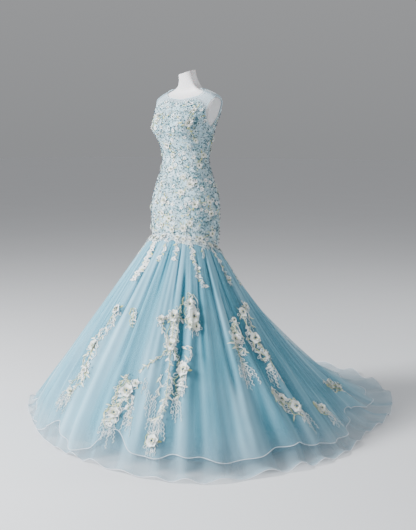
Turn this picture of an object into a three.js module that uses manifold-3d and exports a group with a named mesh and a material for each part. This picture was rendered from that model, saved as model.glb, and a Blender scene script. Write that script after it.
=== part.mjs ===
// A mermaid evening gown of beaded lace and tulle on a limbless dress form with a round floor base.
// Millimetres, +Z up. The origin is the centre of the base's underside. The gown faces -Y, the wearer's
// left is +X, and the train lies towards +Y. Angles run from 0 at the front through 90 at the wearer's left.
import * as THREE from "three";
import { mergeVertices } from "three/addons/utils/BufferGeometryUtils.js";
import Module from "manifold-3d";

const wasm = await Module();
wasm.setup();

// ---------------------------------------------------------------- driving dimensions

const SEAM_GAP = 0.3; // between pieces that meet at a seam or lie on each other
const FORM_CLEARANCE = 1.5; // between the body's measures and the gown
const FORM_EASE = 4; // how far the form's skin lies inside those measures
const WALL = { bodice: 2.0, yoke: 1.0, placket: 1.6, tulle: 1.0, lining: 1.2, lace: 1.7 };
const SEAM_HEIGHT = { middle: 800, frontRise: 52 }; // where the skirt joins: higher in front than behind
const CONE_RADIUS = 700; // the skirt's radius on the floor before its train and flounce spread it
const FOLDS = 36; // gathers of tulle round the skirt
const UNDERARM = 1312; // height of the armhole's lowest point
const SHOULDER_TIP = 1442;
const NECK_POINT = 1476; // where the shoulder seam meets the neckline
const PLACKET = { halfWidth: 4, closed: 931, bottom: 988, top: 1464 };
const NECK_CUT = { height: 1550, y: 8, riseSideways: 0.2, riseBack: 0.2 };
const ARM_CUT = { x: 158, z: 1422, lean: 0.245 }; // the flat armhole faces of the form lean in downwards
const BASE = { radius: 185, edge: 8, height: 16, shoulderIn: 30, shoulderDrop: 2, segments: 28 };
const POLE = { radius: 16, flangeRadius: 46, flangeHeight: 8, coneHeight: 16, segments: 12 };
const FORM_BOTTOM = 696;

// The body's sections: height, half width, depth in front of and behind the pole's axis.
const FORM_SECTIONS = [
  { z: 696, wide: 143, front: 110, back: 76 },
  { z: 846, wide: 158, front: 122, back: 80 },
  { z: 931, wide: 161, front: 124, back: 81 },
  { z: 987, wide: 159, front: 122, back: 81 },
  { z: 1034, wide: 149, front: 113, back: 77 },
  { z: 1081, wide: 132, front: 102, back: 70 },
  { z: 1128, wide: 115, front: 90, back: 62 },
  { z: 1170, wide: 106, front: 83, back: 58 },
  { z: 1203, wide: 108, front: 85, back: 61 },
  { z: 1241, wide: 117, front: 93, back: 67 },
  { z: 1279, wide: 126, front: 105, back: 76 },
  { z: 1312, wide: 134, front: 110, back: 86 },
  { z: 1340, wide: 142, front: 106, back: 96 },
  { z: 1368, wide: 152, front: 90, back: 106 },
  { z: 1396, wide: 161, front: 68, back: 113 },
  { z: 1422, wide: 166, front: 45, back: 115 },
  { z: 1440, wide: 159, front: 28, back: 112 },
  { z: 1454, wide: 138, front: 19, back: 106 },
  { z: 1466, wide: 107, front: 15, back: 99 },
  { z: 1477, wide: 76, front: 14, back: 92 },
  { z: 1490, wide: 54, front: 16, back: 84 },
  { z: 1508, wide: 45, front: 20, back: 73 },
  { z: 1534, wide: 41, front: 29, back: 54 },
  { z: 1590, wide: 40, front: 50, back: 32 },
];
const ELLIPSE = 2; // exponent of a round section's outline
const SQUARENESS = 2.25; // exponent of the body's sections
const BUST = { x: 72, z: 1312, reach: 34, spread: 50, above: 73, below: 43, sideFade: 2.2 };

// Half the opening angle of the front and back panels at each height, from the centre line.
const FRONT_EDGE = [
  { z: UNDERARM, angle: 90 },
  { z: 1334, angle: 79 },
  { z: 1363, angle: 67 },
  { z: 1391, angle: 61 },
  { z: 1416, angle: 61 },
  { z: 1431, angle: 70 },
  { z: SHOULDER_TIP, angle: 90 },
];
const BACK_EDGE = [
  { z: UNDERARM, angle: 90 },
  { z: 1334, angle: 81 },
  { z: 1363, angle: 72 },
  { z: 1391, angle: 67 },
  { z: 1416, angle: 66 },
  { z: 1431, angle: 73 },
  { z: SHOULDER_TIP, angle: 90 },
];
// Tops of the lace and of the sheer yoke, by share of the panel's half width from its centre line.
const FRONT_LACE_TOP = [
  { share: 0, z: 1416 },
  { share: 0.35, z: 1427 },
  { share: 0.6, z: 1421 },
  { share: 0.8, z: 1404 },
  { share: 1, z: 1381 },
];
const FRONT_NECKLINE = [
  { share: 0, z: 1428 },
  { share: 0.25, z: 1438 },
  { share: 0.5, z: 1455 },
  { share: 0.8, z: 1469 },
  { share: 1, z: NECK_POINT },
];
const BACK_LACE_TOP = [
  { share: 0, z: 1363 },
  { share: 0.5, z: 1378 },
  { share: 1, z: 1384 },
];
const BACK_NECKLINE = [
  { share: 0, z: 1468 },
  { share: 0.5, z: 1471 },
  { share: 1, z: NECK_POINT },
];

// The under tulle's hem on the floor: angle round the gown and radius.
const HEM_RADIUS = [
  { angle: -180, r: 1200 },
  { angle: -150, r: 1075 },
  { angle: -120, r: 925 },
  { angle: -90, r: 855 },
  { angle: -70, r: 815 },
  { angle: -45, r: 705 },
  { angle: -15, r: 675 },
  { angle: 10, r: 705 },
  { angle: 42, r: 800 },
  { angle: 62, r: 785 },
  { angle: 90, r: 810 },
  { angle: 112, r: 815 },
  { angle: 130, r: 925 },
  { angle: 155, r: 1090 },
  { angle: 180, r: 1200 },
];

// The over tulle's hem, as a share of the way from the seam to the under tulle's hem. Between its lifts it dips.
const OVER_HEM = { share: 0.9, ripple: 0.012 };
const OVER_HEM_LIFTS = [
  { angle: -128, wide: 11, lift: 0.05 },
  { angle: -84, wide: 9, lift: 0.07 },
  { angle: -50, wide: 7, lift: 0.06 },
  { angle: -14, wide: 7, lift: 0.08 },
  { angle: 13, wide: 7, lift: 0.11 },
  { angle: 36, wide: 14, lift: 0.05 },
  { angle: 72, wide: 14, lift: 0.05 },
  { angle: 118, wide: 9, lift: 0.07 },
  { angle: 160, wide: 12, lift: 0.05 },
];

// ---------------------------------------------------------------- small helpers

const radians = THREE.MathUtils.degToRad;
const TURN = 2 * Math.PI;

// A smooth curve through a table's rows: key is the column that runs, column the one read.
function smooth(table, key, column, at) {
  const last = table.length - 1;
  const t = THREE.MathUtils.clamp(at, table[0][key], table[last][key]);
  let i = 0;
  while (i < last - 1 && t > table[i + 1][key]) i += 1;
  const slope = (k) => {
    const before = table[Math.max(k - 1, 0)];
    const after = table[Math.min(k + 1, last)];
    return (after[column] - before[column]) / (after[key] - before[key]);
  };
  const width = table[i + 1][key] - table[i][key];
  const f = (t - table[i][key]) / width;
  const rise = table[i + 1][column] - table[i][column];
  const [m0, m1] = [slope(i) * width, slope(i + 1) * width];
  return table[i][column] + m0 * f + (3 * rise - 2 * m0 - m1) * f ** 2 + (m0 + m1 - 2 * rise) * f ** 3;
}

const signedPower = (value, exponent) => Math.sign(value) * Math.abs(value) ** exponent;
const bell = (distance, width) => Math.exp(-((distance / width) ** 2));
const outward = (angle) => new THREE.Vector3(Math.sin(angle), -Math.cos(angle), 0);
const steps = (count) => Array.from({ length: count + 1 }, (_, i) => i / count);

// The outward normal of a surface of (a, b), by small differences.
function normalOf(surface, a, b, da, db) {
  const alongA = surface(a + da, b).sub(surface(a - da, b));
  const alongB = surface(a, b + db).sub(surface(a, b - db));
  return alongA.cross(alongB).normalize();
}

// ---------------------------------------------------------------- solids

// A closed geometry from points and triangles, with its faces turned outwards.
function closedGeometry(points, triangles) {
  const volume = triangles.reduce(
    (sum, [a, b, c]) => sum + points[a].dot(points[b].clone().cross(points[c])),
    0,
  );
  const index = triangles.flatMap(([a, b, c]) => (volume > 0 ? [a, b, c] : [a, c, b]));
  const positions = new Float32Array(points.flatMap((p) => [p.x, p.y, p.z]));
  return new THREE.BufferGeometry()
    .setAttribute("position", new THREE.BufferAttribute(positions, 3))
    .setIndex(index);
}

// The wall between two grids of points of the same size. A ring closes on itself round its columns.
function wallBetween(outer, inner, ring = false) {
  const [rows, columns] = [outer.length, outer[0].length];
  const points = [...outer.flat(), ...inner.flat()];
  const at = (row, column, side) => (side * rows + row) * columns + (column % columns);
  const triangles = [];
  const quad = (a, b, c, d) => triangles.push([a, b, c], [a, c, d]);
  const cells = ring ? columns : columns - 1;
  for (let j = 0; j < cells; j++) {
    for (let i = 0; i < rows - 1; i++) {
      quad(at(i, j, 0), at(i, j + 1, 0), at(i + 1, j + 1, 0), at(i + 1, j, 0));
      triangles.push([at(i, j, 1), at(i + 1, j + 1, 1), at(i, j + 1, 1)]);
      triangles.push([at(i, j, 1), at(i + 1, j, 1), at(i + 1, j + 1, 1)]);
    }
    quad(at(0, j, 1), at(0, j + 1, 1), at(0, j + 1, 0), at(0, j, 0));
    quad(at(rows - 1, j, 0), at(rows - 1, j + 1, 0), at(rows - 1, j + 1, 1), at(rows - 1, j, 1));
  }
  for (let i = 0; !ring && i < rows - 1; i++) {
    quad(at(i, 0, 0), at(i + 1, 0, 0), at(i + 1, 0, 1), at(i, 0, 1));
    quad(at(i, cells, 1), at(i + 1, cells, 1), at(i + 1, cells, 0), at(i, cells, 0));
  }
  return closedGeometry(points, triangles);
}

// A solid through rings of points, closed by a fan at each end.
function loft(rings) {
  const columns = rings[0].length;
  const middle = (ring) =>
    ring.reduce((sum, p) => sum.add(p), new THREE.Vector3()).divideScalar(columns);
  const points = [...rings.flat(), middle(rings[0]), middle(rings.at(-1))];
  const at = (row, column) => row * columns + (column % columns);
  const [foot, head] = [points.length - 2, points.length - 1];
  const triangles = [];
  for (let j = 0; j < columns; j++) {
    for (let i = 0; i < rings.length - 1; i++) {
      triangles.push([at(i, j), at(i, j + 1), at(i + 1, j + 1)]);
      triangles.push([at(i, j), at(i + 1, j + 1), at(i + 1, j)]);
    }
    triangles.push([foot, at(0, j + 1), at(0, j)]);
    triangles.push([head, at(rings.length - 1, j), at(rings.length - 1, j + 1)]);
  }
  return closedGeometry(points, triangles);
}

function manifoldOf(geometry) {
  const bare = new THREE.BufferGeometry().setAttribute("position", geometry.getAttribute("position"));
  const merged = mergeVertices(bare.setIndex(geometry.getIndex()), 1e-4);
  return new wasm.Manifold(
    new wasm.Mesh({
      numProp: 3,
      vertProperties: merged.attributes.position.array,
      triVerts: new Uint32Array(merged.index.array),
    }),
  );
}

function geometryOf(solid) {
  const mesh = solid.getMesh();
  return new THREE.BufferGeometry()
    .setAttribute("position", new THREE.BufferAttribute(new Float32Array(mesh.vertProperties), 3))
    .setIndex(new THREE.BufferAttribute(new Uint32Array(mesh.triVerts), 1));
}

// ---------------------------------------------------------------- the form

// A point of the body's surface, from which the form and the gown are measured.
function formSkin(angle, z) {
  const row = (column) => smooth(FORM_SECTIONS, "z", column, z);
  const power = ELLIPSE / SQUARENESS;
  const [s, c] = [Math.sin(angle), Math.cos(angle)];
  const x = row("wide") * signedPower(s, power);
  const y = -(c > 0 ? row("front") : row("back")) * signedPower(c, power);
  const rise = bell(z - BUST.z, z > BUST.z ? BUST.above : BUST.below);
  const cups = bell(x - BUST.x, BUST.spread) + bell(x + BUST.x, BUST.spread);
  const push = c > 0 ? BUST.reach * rise * cups * Math.min(1, c * BUST.sideFade) : 0;
  return new THREE.Vector3(x, y - push, z);
}

const SKIN_STEP = { angle: 0.01, z: 2 }; // small steps on the body for its normal

function offForm(angle, z, distance) {
  const normal = normalOf(formSkin, angle, z, SKIN_STEP.angle, SKIN_STEP.z);
  return formSkin(angle, z).addScaledVector(normal, distance);
}

const ARM_PLATE = { thick: 3, blockDeep: 280, blockHigh: 360, blockWide: 120 };
const NECK_BLOCK = { wide: 400, high: 200 };

// The block outside the form's flat armhole face on one side, moved out by a distance.
function armBlock(side, distance) {
  const { blockWide, blockDeep, blockHigh } = ARM_PLATE;
  const block = new THREE.BoxGeometry(blockWide, blockDeep, blockHigh);
  block.translate(blockWide / 2 + distance, 0, 0).rotateY(Math.atan(ARM_CUT.lean));
  block.translate(ARM_CUT.x, 0, ARM_CUT.z);
  return manifoldOf(side < 0 ? block.rotateZ(Math.PI) : block);
}

// The block above the neck's slanting cut.
function neckBlock() {
  const { wide, high } = NECK_BLOCK;
  const block = new THREE.BoxGeometry(wide, wide, high).translate(0, 0, high / 2);
  const normal = new THREE.Vector3(-NECK_CUT.riseSideways, -NECK_CUT.riseBack, 1).normalize();
  const turn = new THREE.Quaternion().setFromUnitVectors(new THREE.Vector3(0, 0, 1), normal);
  block.applyQuaternion(turn).translate(0, NECK_CUT.y, NECK_CUT.height);
  return manifoldOf(block);
}

const FORM_COLUMNS = 24;

function wholeForm() {
  const ring = ({ z }) => steps(FORM_COLUMNS).slice(1).map((t) => offForm(t * TURN, z, -FORM_EASE));
  return manifoldOf(loft(FORM_SECTIONS.map(ring)));
}

function formTorso() {
  let solid = wholeForm().subtract(neckBlock());
  for (const side of [1, -1]) solid = solid.subtract(armBlock(side, -ARM_PLATE.thick - SEAM_GAP));
  return geometryOf(solid);
}

// The flat plate that closes one armhole of the form, with the armhole's own outline.
function armPlate(side) {
  const within = armBlock(side, -ARM_PLATE.thick).subtract(armBlock(side, 0));
  return geometryOf(wholeForm().intersect(within));
}

function formPole() {
  const foot = BASE.height + SEAM_GAP;
  const head = FORM_BOTTOM - SEAM_GAP;
  const profile = [
    [0, foot],
    [POLE.radius, foot],
    [POLE.radius, head - POLE.flangeHeight - POLE.coneHeight],
    [POLE.flangeRadius, head - POLE.flangeHeight],
    [POLE.flangeRadius, head],
    [0, head],
  ];
  return turned(profile, POLE.segments);
}

function formBase() {
  const profile = [
    [0, 0],
    [BASE.radius, 0],
    [BASE.radius, BASE.edge],
    [BASE.radius - BASE.shoulderIn, BASE.height - BASE.shoulderDrop],
    [POLE.flangeRadius, BASE.height],
    [0, BASE.height],
  ];
  return turned(profile, BASE.segments);
}

// A solid of revolution about Z from radius and height pairs.
function turned(profile, segments) {
  const points = profile.map(([radius, height]) => new THREE.Vector2(radius, height));
  const lathe = new THREE.LatheGeometry(points, segments).rotateX(Math.PI / 2);
  return geometryOf(manifoldOf(lathe));
}

// ---------------------------------------------------------------- bodice and yoke

const seamHeight = (angle) => SEAM_HEIGHT.middle + SEAM_HEIGHT.frontRise * Math.cos(angle);
const bodiceOuter = FORM_CLEARANCE + WALL.bodice;

const SIDE_SEAM = 90; // degrees round from the centre line

// Half a panel's opening angle at a height, less half the seam's gap.
function edgeAngle(table, z) {
  const angle = z >= UNDERARM && z <= SHOULDER_TIP ? smooth(table, "z", "angle", z) : SIDE_SEAM;
  const gap = SEAM_GAP / 2 / smooth(FORM_SECTIONS, "z", "wide", z);
  return radians(Math.min(angle, SIDE_SEAM)) - gap;
}

// The heights of a panel's rows: its own rows of levels between its bottom and its top.
const between = (shares) => (bottom, top) => shares.map((t) => THREE.MathUtils.lerp(bottom, top, t));
const LACE_LEVELS = [931, 987, 1034, 1081, 1170, 1241, 1279, 1312, 1340];
const laceRows = (bottom, top) => [bottom, ...LACE_LEVELS, (LACE_LEVELS.at(-1) + top) / 2, top];
const YOKE_LEVELS = [0, 0.25, 0.53, 0.635, 0.82, 1]; // closest where the shoulder turns
const yokeRows = between(YOKE_LEVELS);

// A grid of (angle, height) from columns of heights: the angle of a share of the panel at a height is given.
function gridOf(shares, rows, bottom, top, angleAt) {
  const columns = shares.map((share) =>
    rows(bottom(share), top(share)).map((z) => ({ angle: angleAt(share, z), z })),
  );
  return columns[0].map((_, i) => columns.map((column) => column[i]));
}

// The front: share runs from -1 to 1 across it. A back panel: share runs from 0 at the placket to 1.
const frontGrid = (shares, rows, bottom, top) =>
  gridOf(shares, rows, bottom, top, (share, z) => share * edgeAngle(FRONT_EDGE, z));
const backGrid = (side, shares, rows, bottom, top) =>
  gridOf(shares, rows, bottom, top, (share, z) => {
    const angle = THREE.MathUtils.lerp(placketAngle(z), edgeAngle(BACK_EDGE, z), share);
    return Math.PI - side * angle;
  });

// Half the gap between the back panels: the placket's width, closing to a plain seam below it.
function placketAngle(z) {
  const open = THREE.MathUtils.smoothstep(z, PLACKET.closed, PLACKET.bottom - 1);
  const half = THREE.MathUtils.lerp(SEAM_GAP / 2, PLACKET.halfWidth + SEAM_GAP, open);
  return Math.asin(signedPower(half / smooth(FORM_SECTIONS, "z", "wide", z), SQUARENESS / 2));
}

const layer = (grid, distance) => grid.map((row) => row.map((p) => offForm(p.angle, p.z, distance)));
const panel = (grid, wall) =>
  wallBetween(layer(grid, FORM_CLEARANCE + wall), layer(grid, FORM_CLEARANCE));

const HALF_COLUMNS = 6; // columns of points from the centre line to a side seam
const FRONT_SHARES = steps(2 * HALF_COLUMNS).map((t) => 2 * t - 1);
const BACK_SHARES = steps(HALF_COLUMNS);
const frontLaceTop = (share) => smooth(FRONT_LACE_TOP, "share", "z", Math.abs(share));
const backLaceTop = (share) => smooth(BACK_LACE_TOP, "share", "z", share);
const frontBottom = (share) => seamHeight((share * Math.PI) / 2) + SEAM_GAP / 2;
const backBottom = (share) => seamHeight(Math.PI - (share * Math.PI) / 2) + SEAM_GAP / 2;

const frontLace = frontGrid(FRONT_SHARES, laceRows, frontBottom, frontLaceTop);
const backLace = (side) => backGrid(side, BACK_SHARES, laceRows, backBottom, backLaceTop);

function frontYoke() {
  const top = (share) => smooth(FRONT_NECKLINE, "share", "z", Math.abs(share));
  const bottom = (share) => frontLaceTop(share) + SEAM_GAP;
  return panel(frontGrid(FRONT_SHARES, yokeRows, bottom, top), WALL.yoke);
}

function backYoke(side) {
  const top = (share) => smooth(BACK_NECKLINE, "share", "z", share);
  const bottom = (share) => backLaceTop(share) + SEAM_GAP;
  return panel(backGrid(side, BACK_SHARES, yokeRows, bottom, top), WALL.yoke);
}

// The strip that hides the fastening down the centre back.
function backPlacket() {
  const inside = FORM_SECTIONS.map((row) => row.z).filter((z) => z > PLACKET.bottom && z < PLACKET.top);
  const lie = (distance) =>
    [PLACKET.bottom, ...inside, PLACKET.top].map((z) => {
      const middle = offForm(Math.PI, z, distance);
      return [PLACKET.halfWidth, -PLACKET.halfWidth].map((x) => middle.clone().setX(x));
    });
  return wallBetween(lie(FORM_CLEARANCE + WALL.placket), lie(FORM_CLEARANCE));
}

// ---------------------------------------------------------------- skirt

// Gathered tulle is uneven: slow waves round the skirt shift its gathers and make them deeper or flatter.
const GATHER_DRIFT = [
  { waves: 3, size: 1.4, shift: 0.4 },
  { waves: 8, size: 0.9, shift: 1.3 },
];
const GATHER_STRENGTH = [
  { waves: 5, size: 0.32, shift: 2.0 },
  { waves: 11, size: 0.24, shift: 0.6 },
];
const waveSum = (rows, angle) =>
  rows.reduce((sum, { waves, size, shift }) => sum + size * Math.sin(waves * angle + shift), 0);
const foldPhase = (angle) => FOLDS * angle + waveSum(GATHER_DRIFT, angle);
const foldStrength = (angle) => 1 + waveSum(GATHER_STRENGTH, angle);
const PHASE_SLOPE = FOLDS + 12; // above the phase's steepest run, so that the search settles
const PHASE_ROUNDS = 40;

// The angle at which the gathers reach a phase.
function angleAtPhase(phase) {
  let angle = phase / FOLDS;
  for (let i = 0; i < PHASE_ROUNDS; i++) angle -= (foldPhase(angle) - phase) / PHASE_SLOPE;
  return angle;
}

const COLUMNS = 2 * FOLDS; // one on each gather's crest and one in each hollow
const columnAngle = (k) => angleAtPhase(k * Math.PI);

const wrap = (angle) => THREE.MathUtils.euclideanModulo(angle + Math.PI, TURN) - Math.PI;
const hemRadius = (angle) => smooth(HEM_RADIUS, "angle", "r", THREE.MathUtils.radToDeg(wrap(angle)));

const SEAM_PUFF = { rise: 0.02, over: 0.03 }; // how quickly the gathers stand off the seam
const CONE_BULGE = { size: 0.7, power: 3 }; // the cone's curve outwards, low down
const FLOUNCE_POWER = 5; // how late the hem spreads into its train
const FRONT_FULLNESS = 18; // how much fuller the skirt is in front than behind, below the seam
const THIRD_PEAK = 27 / 4; // makes the peak of x (1 - x)², at a third of the way, one
const FLOOR_REACHED = 0.94; // share of the way to the hem where the cloth meets the floor
const FLOOR_SOFTNESS = 0.0006;
const FLOOR_CLEAR = 2; // height at which cloth lies on the floor
const FOLD_DEPTH = 0.15; // a gather's depth as a share of its width
const FOLD_RAMP = { atSeam: 0.25, over: 0.35 }; // gathers start shallow, and are full this share down
const FLOOR_LIFT_POWER = 6; // how late the gathers' hollows rise to the floor's height
const CALM_STEP = { angle: 0.02, share: 0.01 }; // small steps on the skirt for its normal
const SEAM_STAND = 0.2; // how far the under tulle stands out from the bodice at the seam

// The skirt's layers: how far each stands off the under tulle at the seam and, more, at the hem.
const LAYERS = {
  over: { seam: 1.8, hem: 14, wall: WALL.tulle },
  under: { seam: 0, hem: 0, wall: WALL.tulle },
  lining: { seam: -2.6, hem: -26, wall: WALL.lining },
};

// Height by share of the way down: straight to the floor, then along it.
const settle = (drop) => drop + Math.sqrt(drop ** 2 + FLOOR_SOFTNESS);
const heightShare = (share) => settle(1 - share / FLOOR_REACHED) / settle(1);

// A point of the under tulle with its gathers smoothed out: share is 0 at the seam and 1 at the hem.
function calmSkin(angle, share) {
  const top = offForm(angle, seamHeight(angle) - SEAM_GAP / 2, bodiceOuter + SEAM_STAND);
  const topRadius = Math.hypot(top.x, top.y);
  const down = Math.max(share, 0);
  const puff = SEAM_PUFF.rise * (1 - Math.exp(-down / SEAM_PUFF.over));
  const bulge = CONE_BULGE.size * down ** CONE_BULGE.power * (1 - down);
  const cone = puff + (1 - SEAM_PUFF.rise) * down + bulge;
  const fullness = FRONT_FULLNESS * Math.cos(angle) * THIRD_PEAK * down * (1 - down) ** 2;
  const flounce = (hemRadius(angle) - CONE_RADIUS) * down ** FLOUNCE_POWER;
  const spread = (CONE_RADIUS - topRadius) * cone + fullness + flounce;
  const height = FLOOR_CLEAR + (top.z - FLOOR_CLEAR) * heightShare(share);
  return outward(angle).multiplyScalar(spread).add(top).setZ(height);
}

const outOfSkirt = (angle, share) =>
  normalOf(calmSkin, angle, share, CALM_STEP.angle, CALM_STEP.share).negate();

// A point of a layer's outer face, with its gathers. Where the cloth lies on the floor they only rise.
function skirtSkin(name, angle, share) {
  const { seam, hem } = LAYERS[name];
  const calm = calmSkin(angle, share);
  const foldWidth = (TURN * Math.hypot(calm.x, calm.y)) / FOLDS;
  const full = THREE.MathUtils.smoothstep(share, 0, FOLD_RAMP.over);
  const ramp = THREE.MathUtils.lerp(FOLD_RAMP.atSeam, 1, full);
  const depth = FOLD_DEPTH * foldWidth * ramp * foldStrength(angle);
  const floorLift = Math.max(share, 0) ** FLOOR_LIFT_POWER;
  const wave = (depth / 2) * (Math.cos(foldPhase(angle)) + floorLift);
  return calm.addScaledVector(outOfSkirt(angle, share), seam + hem * share + wave);
}

// A layer's grid of points at a distance off its outer face. A row is a share or finds one from the angle.
function skirtGrid(name, angles, rows, distance) {
  return rows.map((row) =>
    angles.map((angle) => {
      const share = typeof row === "function" ? row(angle) : row;
      return skirtSkin(name, angle, share).addScaledVector(outOfSkirt(angle, share), distance);
    }),
  );
}

function overHem(angle) {
  const degrees = THREE.MathUtils.radToDeg(wrap(angle));
  const lifts = OVER_HEM_LIFTS.reduce((sum, row) => {
    const away = Math.abs(THREE.MathUtils.radToDeg(wrap(radians(degrees - row.angle))));
    return sum + row.lift * bell(away, row.wide);
  }, 0);
  return OVER_HEM.share - lifts + OVER_HEM.ripple * Math.cos(foldPhase(angle));
}

const LAYER_ROWS = {
  over: [0, 0.05, 0.1, 0.18, 0.34, 0.5, 0.63, 0.75, overHem],
  under: [0, 0.05, 0.18, 0.34, 0.5, 0.63, 0.75, 0.89, 1],
  lining: [0, 0.05, 0.34, 0.5, 0.63, 0.87],
};
const LAYER_STEP = { over: 1, under: 1, lining: 2 }; // which of the columns a layer keeps

const QUARTERS = [
  { name: "front", from: -9 },
  { name: "left", from: 9 },
  { name: "back", from: 27 },
  { name: "right", from: 45 },
];

// One quarter of a layer, cut a seam's gap short at both sides.
function skirtPanel(name, from) {
  const step = LAYER_STEP[name];
  const count = COLUMNS / QUARTERS.length / step;
  const angles = Array.from({ length: count + 1 }, (_, i) => columnAngle(from + i * step));
  const outer = skirtGrid(name, angles, LAYER_ROWS[name], 0);
  const inner = skirtGrid(name, angles, LAYER_ROWS[name], -LAYERS[name].wall);
  for (const grid of [outer, inner]) {
    for (const row of grid) {
      for (const [edge, next] of [[0, 1], [count, count - 1]]) {
        const along = row[next].clone().sub(row[edge]).normalize();
        row[edge].addScaledVector(along, SEAM_GAP / 2);
      }
    }
  }
  return wallBetween(outer, inner);
}

// ---------------------------------------------------------------- lace motifs

// A host is a panel that lace lies on. It has the shell of lace over the whole panel, the solid under that
// shell, and the calm surface through its folds: place() finds a point of it, and sizes are small steps on it.
const LACE = { off: SEAM_GAP + 0.1, under: -60 };
const SKIRT_SIZES = [0.03, 0.02]; // small steps of angle and share
const BODICE_SIZES = [0.03, -3]; // small steps of angle and height, which runs up the cloth

function hostOf(grid, ring, place, sizes) {
  const band = (far, near) => manifoldOf(wallBetween(grid(far), grid(near), ring));
  const shell = band(LACE.off + WALL.lace, LACE.off);
  const core = band(LACE.off, LACE.under);
  return { shell, core, place, sizes };
}

const HALF_FOLD = Math.PI / FOLDS / 2;

function skirtHost() {
  const angles = Array.from({ length: COLUMNS }, (_, k) => columnAngle(k));
  const grid = (distance) => skirtGrid("over", angles, LAYER_ROWS.over, distance);
  const place = (angle, share) =>
    skirtSkin("over", angle - HALF_FOLD, share)
      .add(skirtSkin("over", angle + HALF_FOLD, share))
      .multiplyScalar(0.5);
  return hostOf(grid, true, place, SKIRT_SIZES);
}

function bodiceHostOf(lace) {
  const grid = (distance) => layer(lace, bodiceOuter + distance);
  return hostOf(grid, false, (angle, z) => offForm(angle, z, bodiceOuter), BODICE_SIZES);
}

// The frame at a place of a host: right and up along the cloth, out of it, and millimetres per step.
function frameAt(host, { a, b }) {
  const [da, db] = host.sizes;
  const right = host.place(a + da, b).sub(host.place(a - da, b));
  const down = host.place(a, b + db).sub(host.place(a, b - db));
  const scale = [right.length() / (2 * da), down.length() / (2 * Math.abs(db))];
  const out = down.clone().cross(right).normalize();
  return { at: host.place(a, b), out, scale };
}

// The place that lies right and up, in millimetres, of a motif's root.
function placeFrom(host, root, [x, y]) {
  const [perAngle, perRow] = frameAt(host, root).scale;
  return { a: root.a + x / perAngle, b: root.b - (Math.sign(host.sizes[1]) * y) / perRow };
}

const PRISM = 90; // longer than the deepest fold

// A prism that stands through the cloth between two of its places. Its outline is given along the way between
// them, in shares of that length, and across it, in shares of the width.
function prismBetween(host, from, to, wide, outline) {
  const [start, end] = [host.place(from.a, from.b), host.place(to.a, to.b)];
  const middle = frameAt(host, { a: (from.a + to.a) / 2, b: (from.b + to.b) / 2 });
  const along = end.clone().sub(start);
  const length = along.length();
  along.normalize();
  const across = along.clone().cross(middle.out).normalize();
  const out = across.clone().cross(along);
  const corners = outline(length, wide).map(([l, w]) => new THREE.Vector2(w, l));
  const shape = new THREE.Shape(corners);
  const solid = new THREE.ExtrudeGeometry(shape, { depth: PRISM, bevelEnabled: false, steps: 1 });
  const basis = new THREE.Matrix4().makeBasis(across, along, out).setPosition(start);
  return manifoldOf(solid.translate(0, 0, -PRISM / 2).applyMatrix4(basis));
}

const LEAF = { low: 0.28, lowHalf: 0.42, high: 0.6, highHalf: 0.5 };
const STEM_OVERRUN = 0.4; // how far a stem's end passes its point, as a share of its width

const leafOutline = (length, wide) => [
  [0, 0],
  [length * LEAF.low, wide * LEAF.lowHalf],
  [length * LEAF.high, wide * LEAF.highHalf],
  [length, 0],
  [length * LEAF.high, -wide * LEAF.highHalf],
  [length * LEAF.low, -wide * LEAF.lowHalf],
];

function stemOutline(length, wide) {
  const over = wide * STEM_OVERRUN;
  return [
    [-over, wide / 2],
    [length + over, wide / 2],
    [length + over, -wide / 2],
    [-over, -wide / 2],
  ];
}

const PETALS = 5;
const FLOWER = { notch: 0.46, half: 0.34, tipRise: 0.3, notchRise: 0.1, eye: 0.24, clear: 0.9 };
const STALK = { sides: 3, radius: 2.4, sink: 1.3 };
const NEEDLE = { radius: 0.6, sides: 3 };

// A solid turned to stand out of the cloth at a place.
function standing(geometry, { at, out }) {
  const face = new THREE.Quaternion().setFromUnitVectors(new THREE.Vector3(0, 0, 1), out);
  return manifoldOf(geometry.applyQuaternion(face).translate(at.x, at.y, at.z));
}

// A flower of round petals, cupped about a raised eye, that a short pointed stalk holds just off the lace.
function flowerSolid(frame, radius, turn) {
  const polar = (angle, reach, height) =>
    new THREE.Vector3(reach * Math.cos(angle), reach * Math.sin(angle), height);
  const rim = steps(PETALS).slice(1).flatMap((t) => [
    polar(turn + (t - 0.5 / PETALS) * TURN, radius * FLOWER.notch, FLOWER.clear + FLOWER.notchRise * radius),
    polar(turn + t * TURN - FLOWER.half, radius, FLOWER.clear + FLOWER.tipRise * radius),
    polar(turn + t * TURN + FLOWER.half, radius, FLOWER.clear + FLOWER.tipRise * radius),
  ]);
  const neck = steps(STALK.sides).slice(0, -1).map((t) => {
    const middle = turn + (t + 0.5 / STALK.sides + 1 / PETALS) * TURN;
    return polar(middle, STALK.radius, FLOWER.clear);
  });
  const ends = [polar(0, 0, FLOWER.clear + FLOWER.eye * radius), polar(0, 0, -STALK.sink)];
  const [eye, root] = [rim.length + STALK.sides, rim.length + STALK.sides + 1];
  const neckUnder = (i) => rim.length + Math.floor((i * STALK.sides) / rim.length);
  const triangles = rim.flatMap((_, i) => {
    const next = (i + 1) % rim.length;
    const [near, far] = [neckUnder(i), neckUnder(next)];
    const petal = [[i, next, eye], [next, i, near]];
    return near === far ? petal : [...petal, [next, near, far], [far, near, root]];
  });
  return standing(closedGeometry([...rim, ...neck, ...ends], triangles), frame);
}

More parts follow.
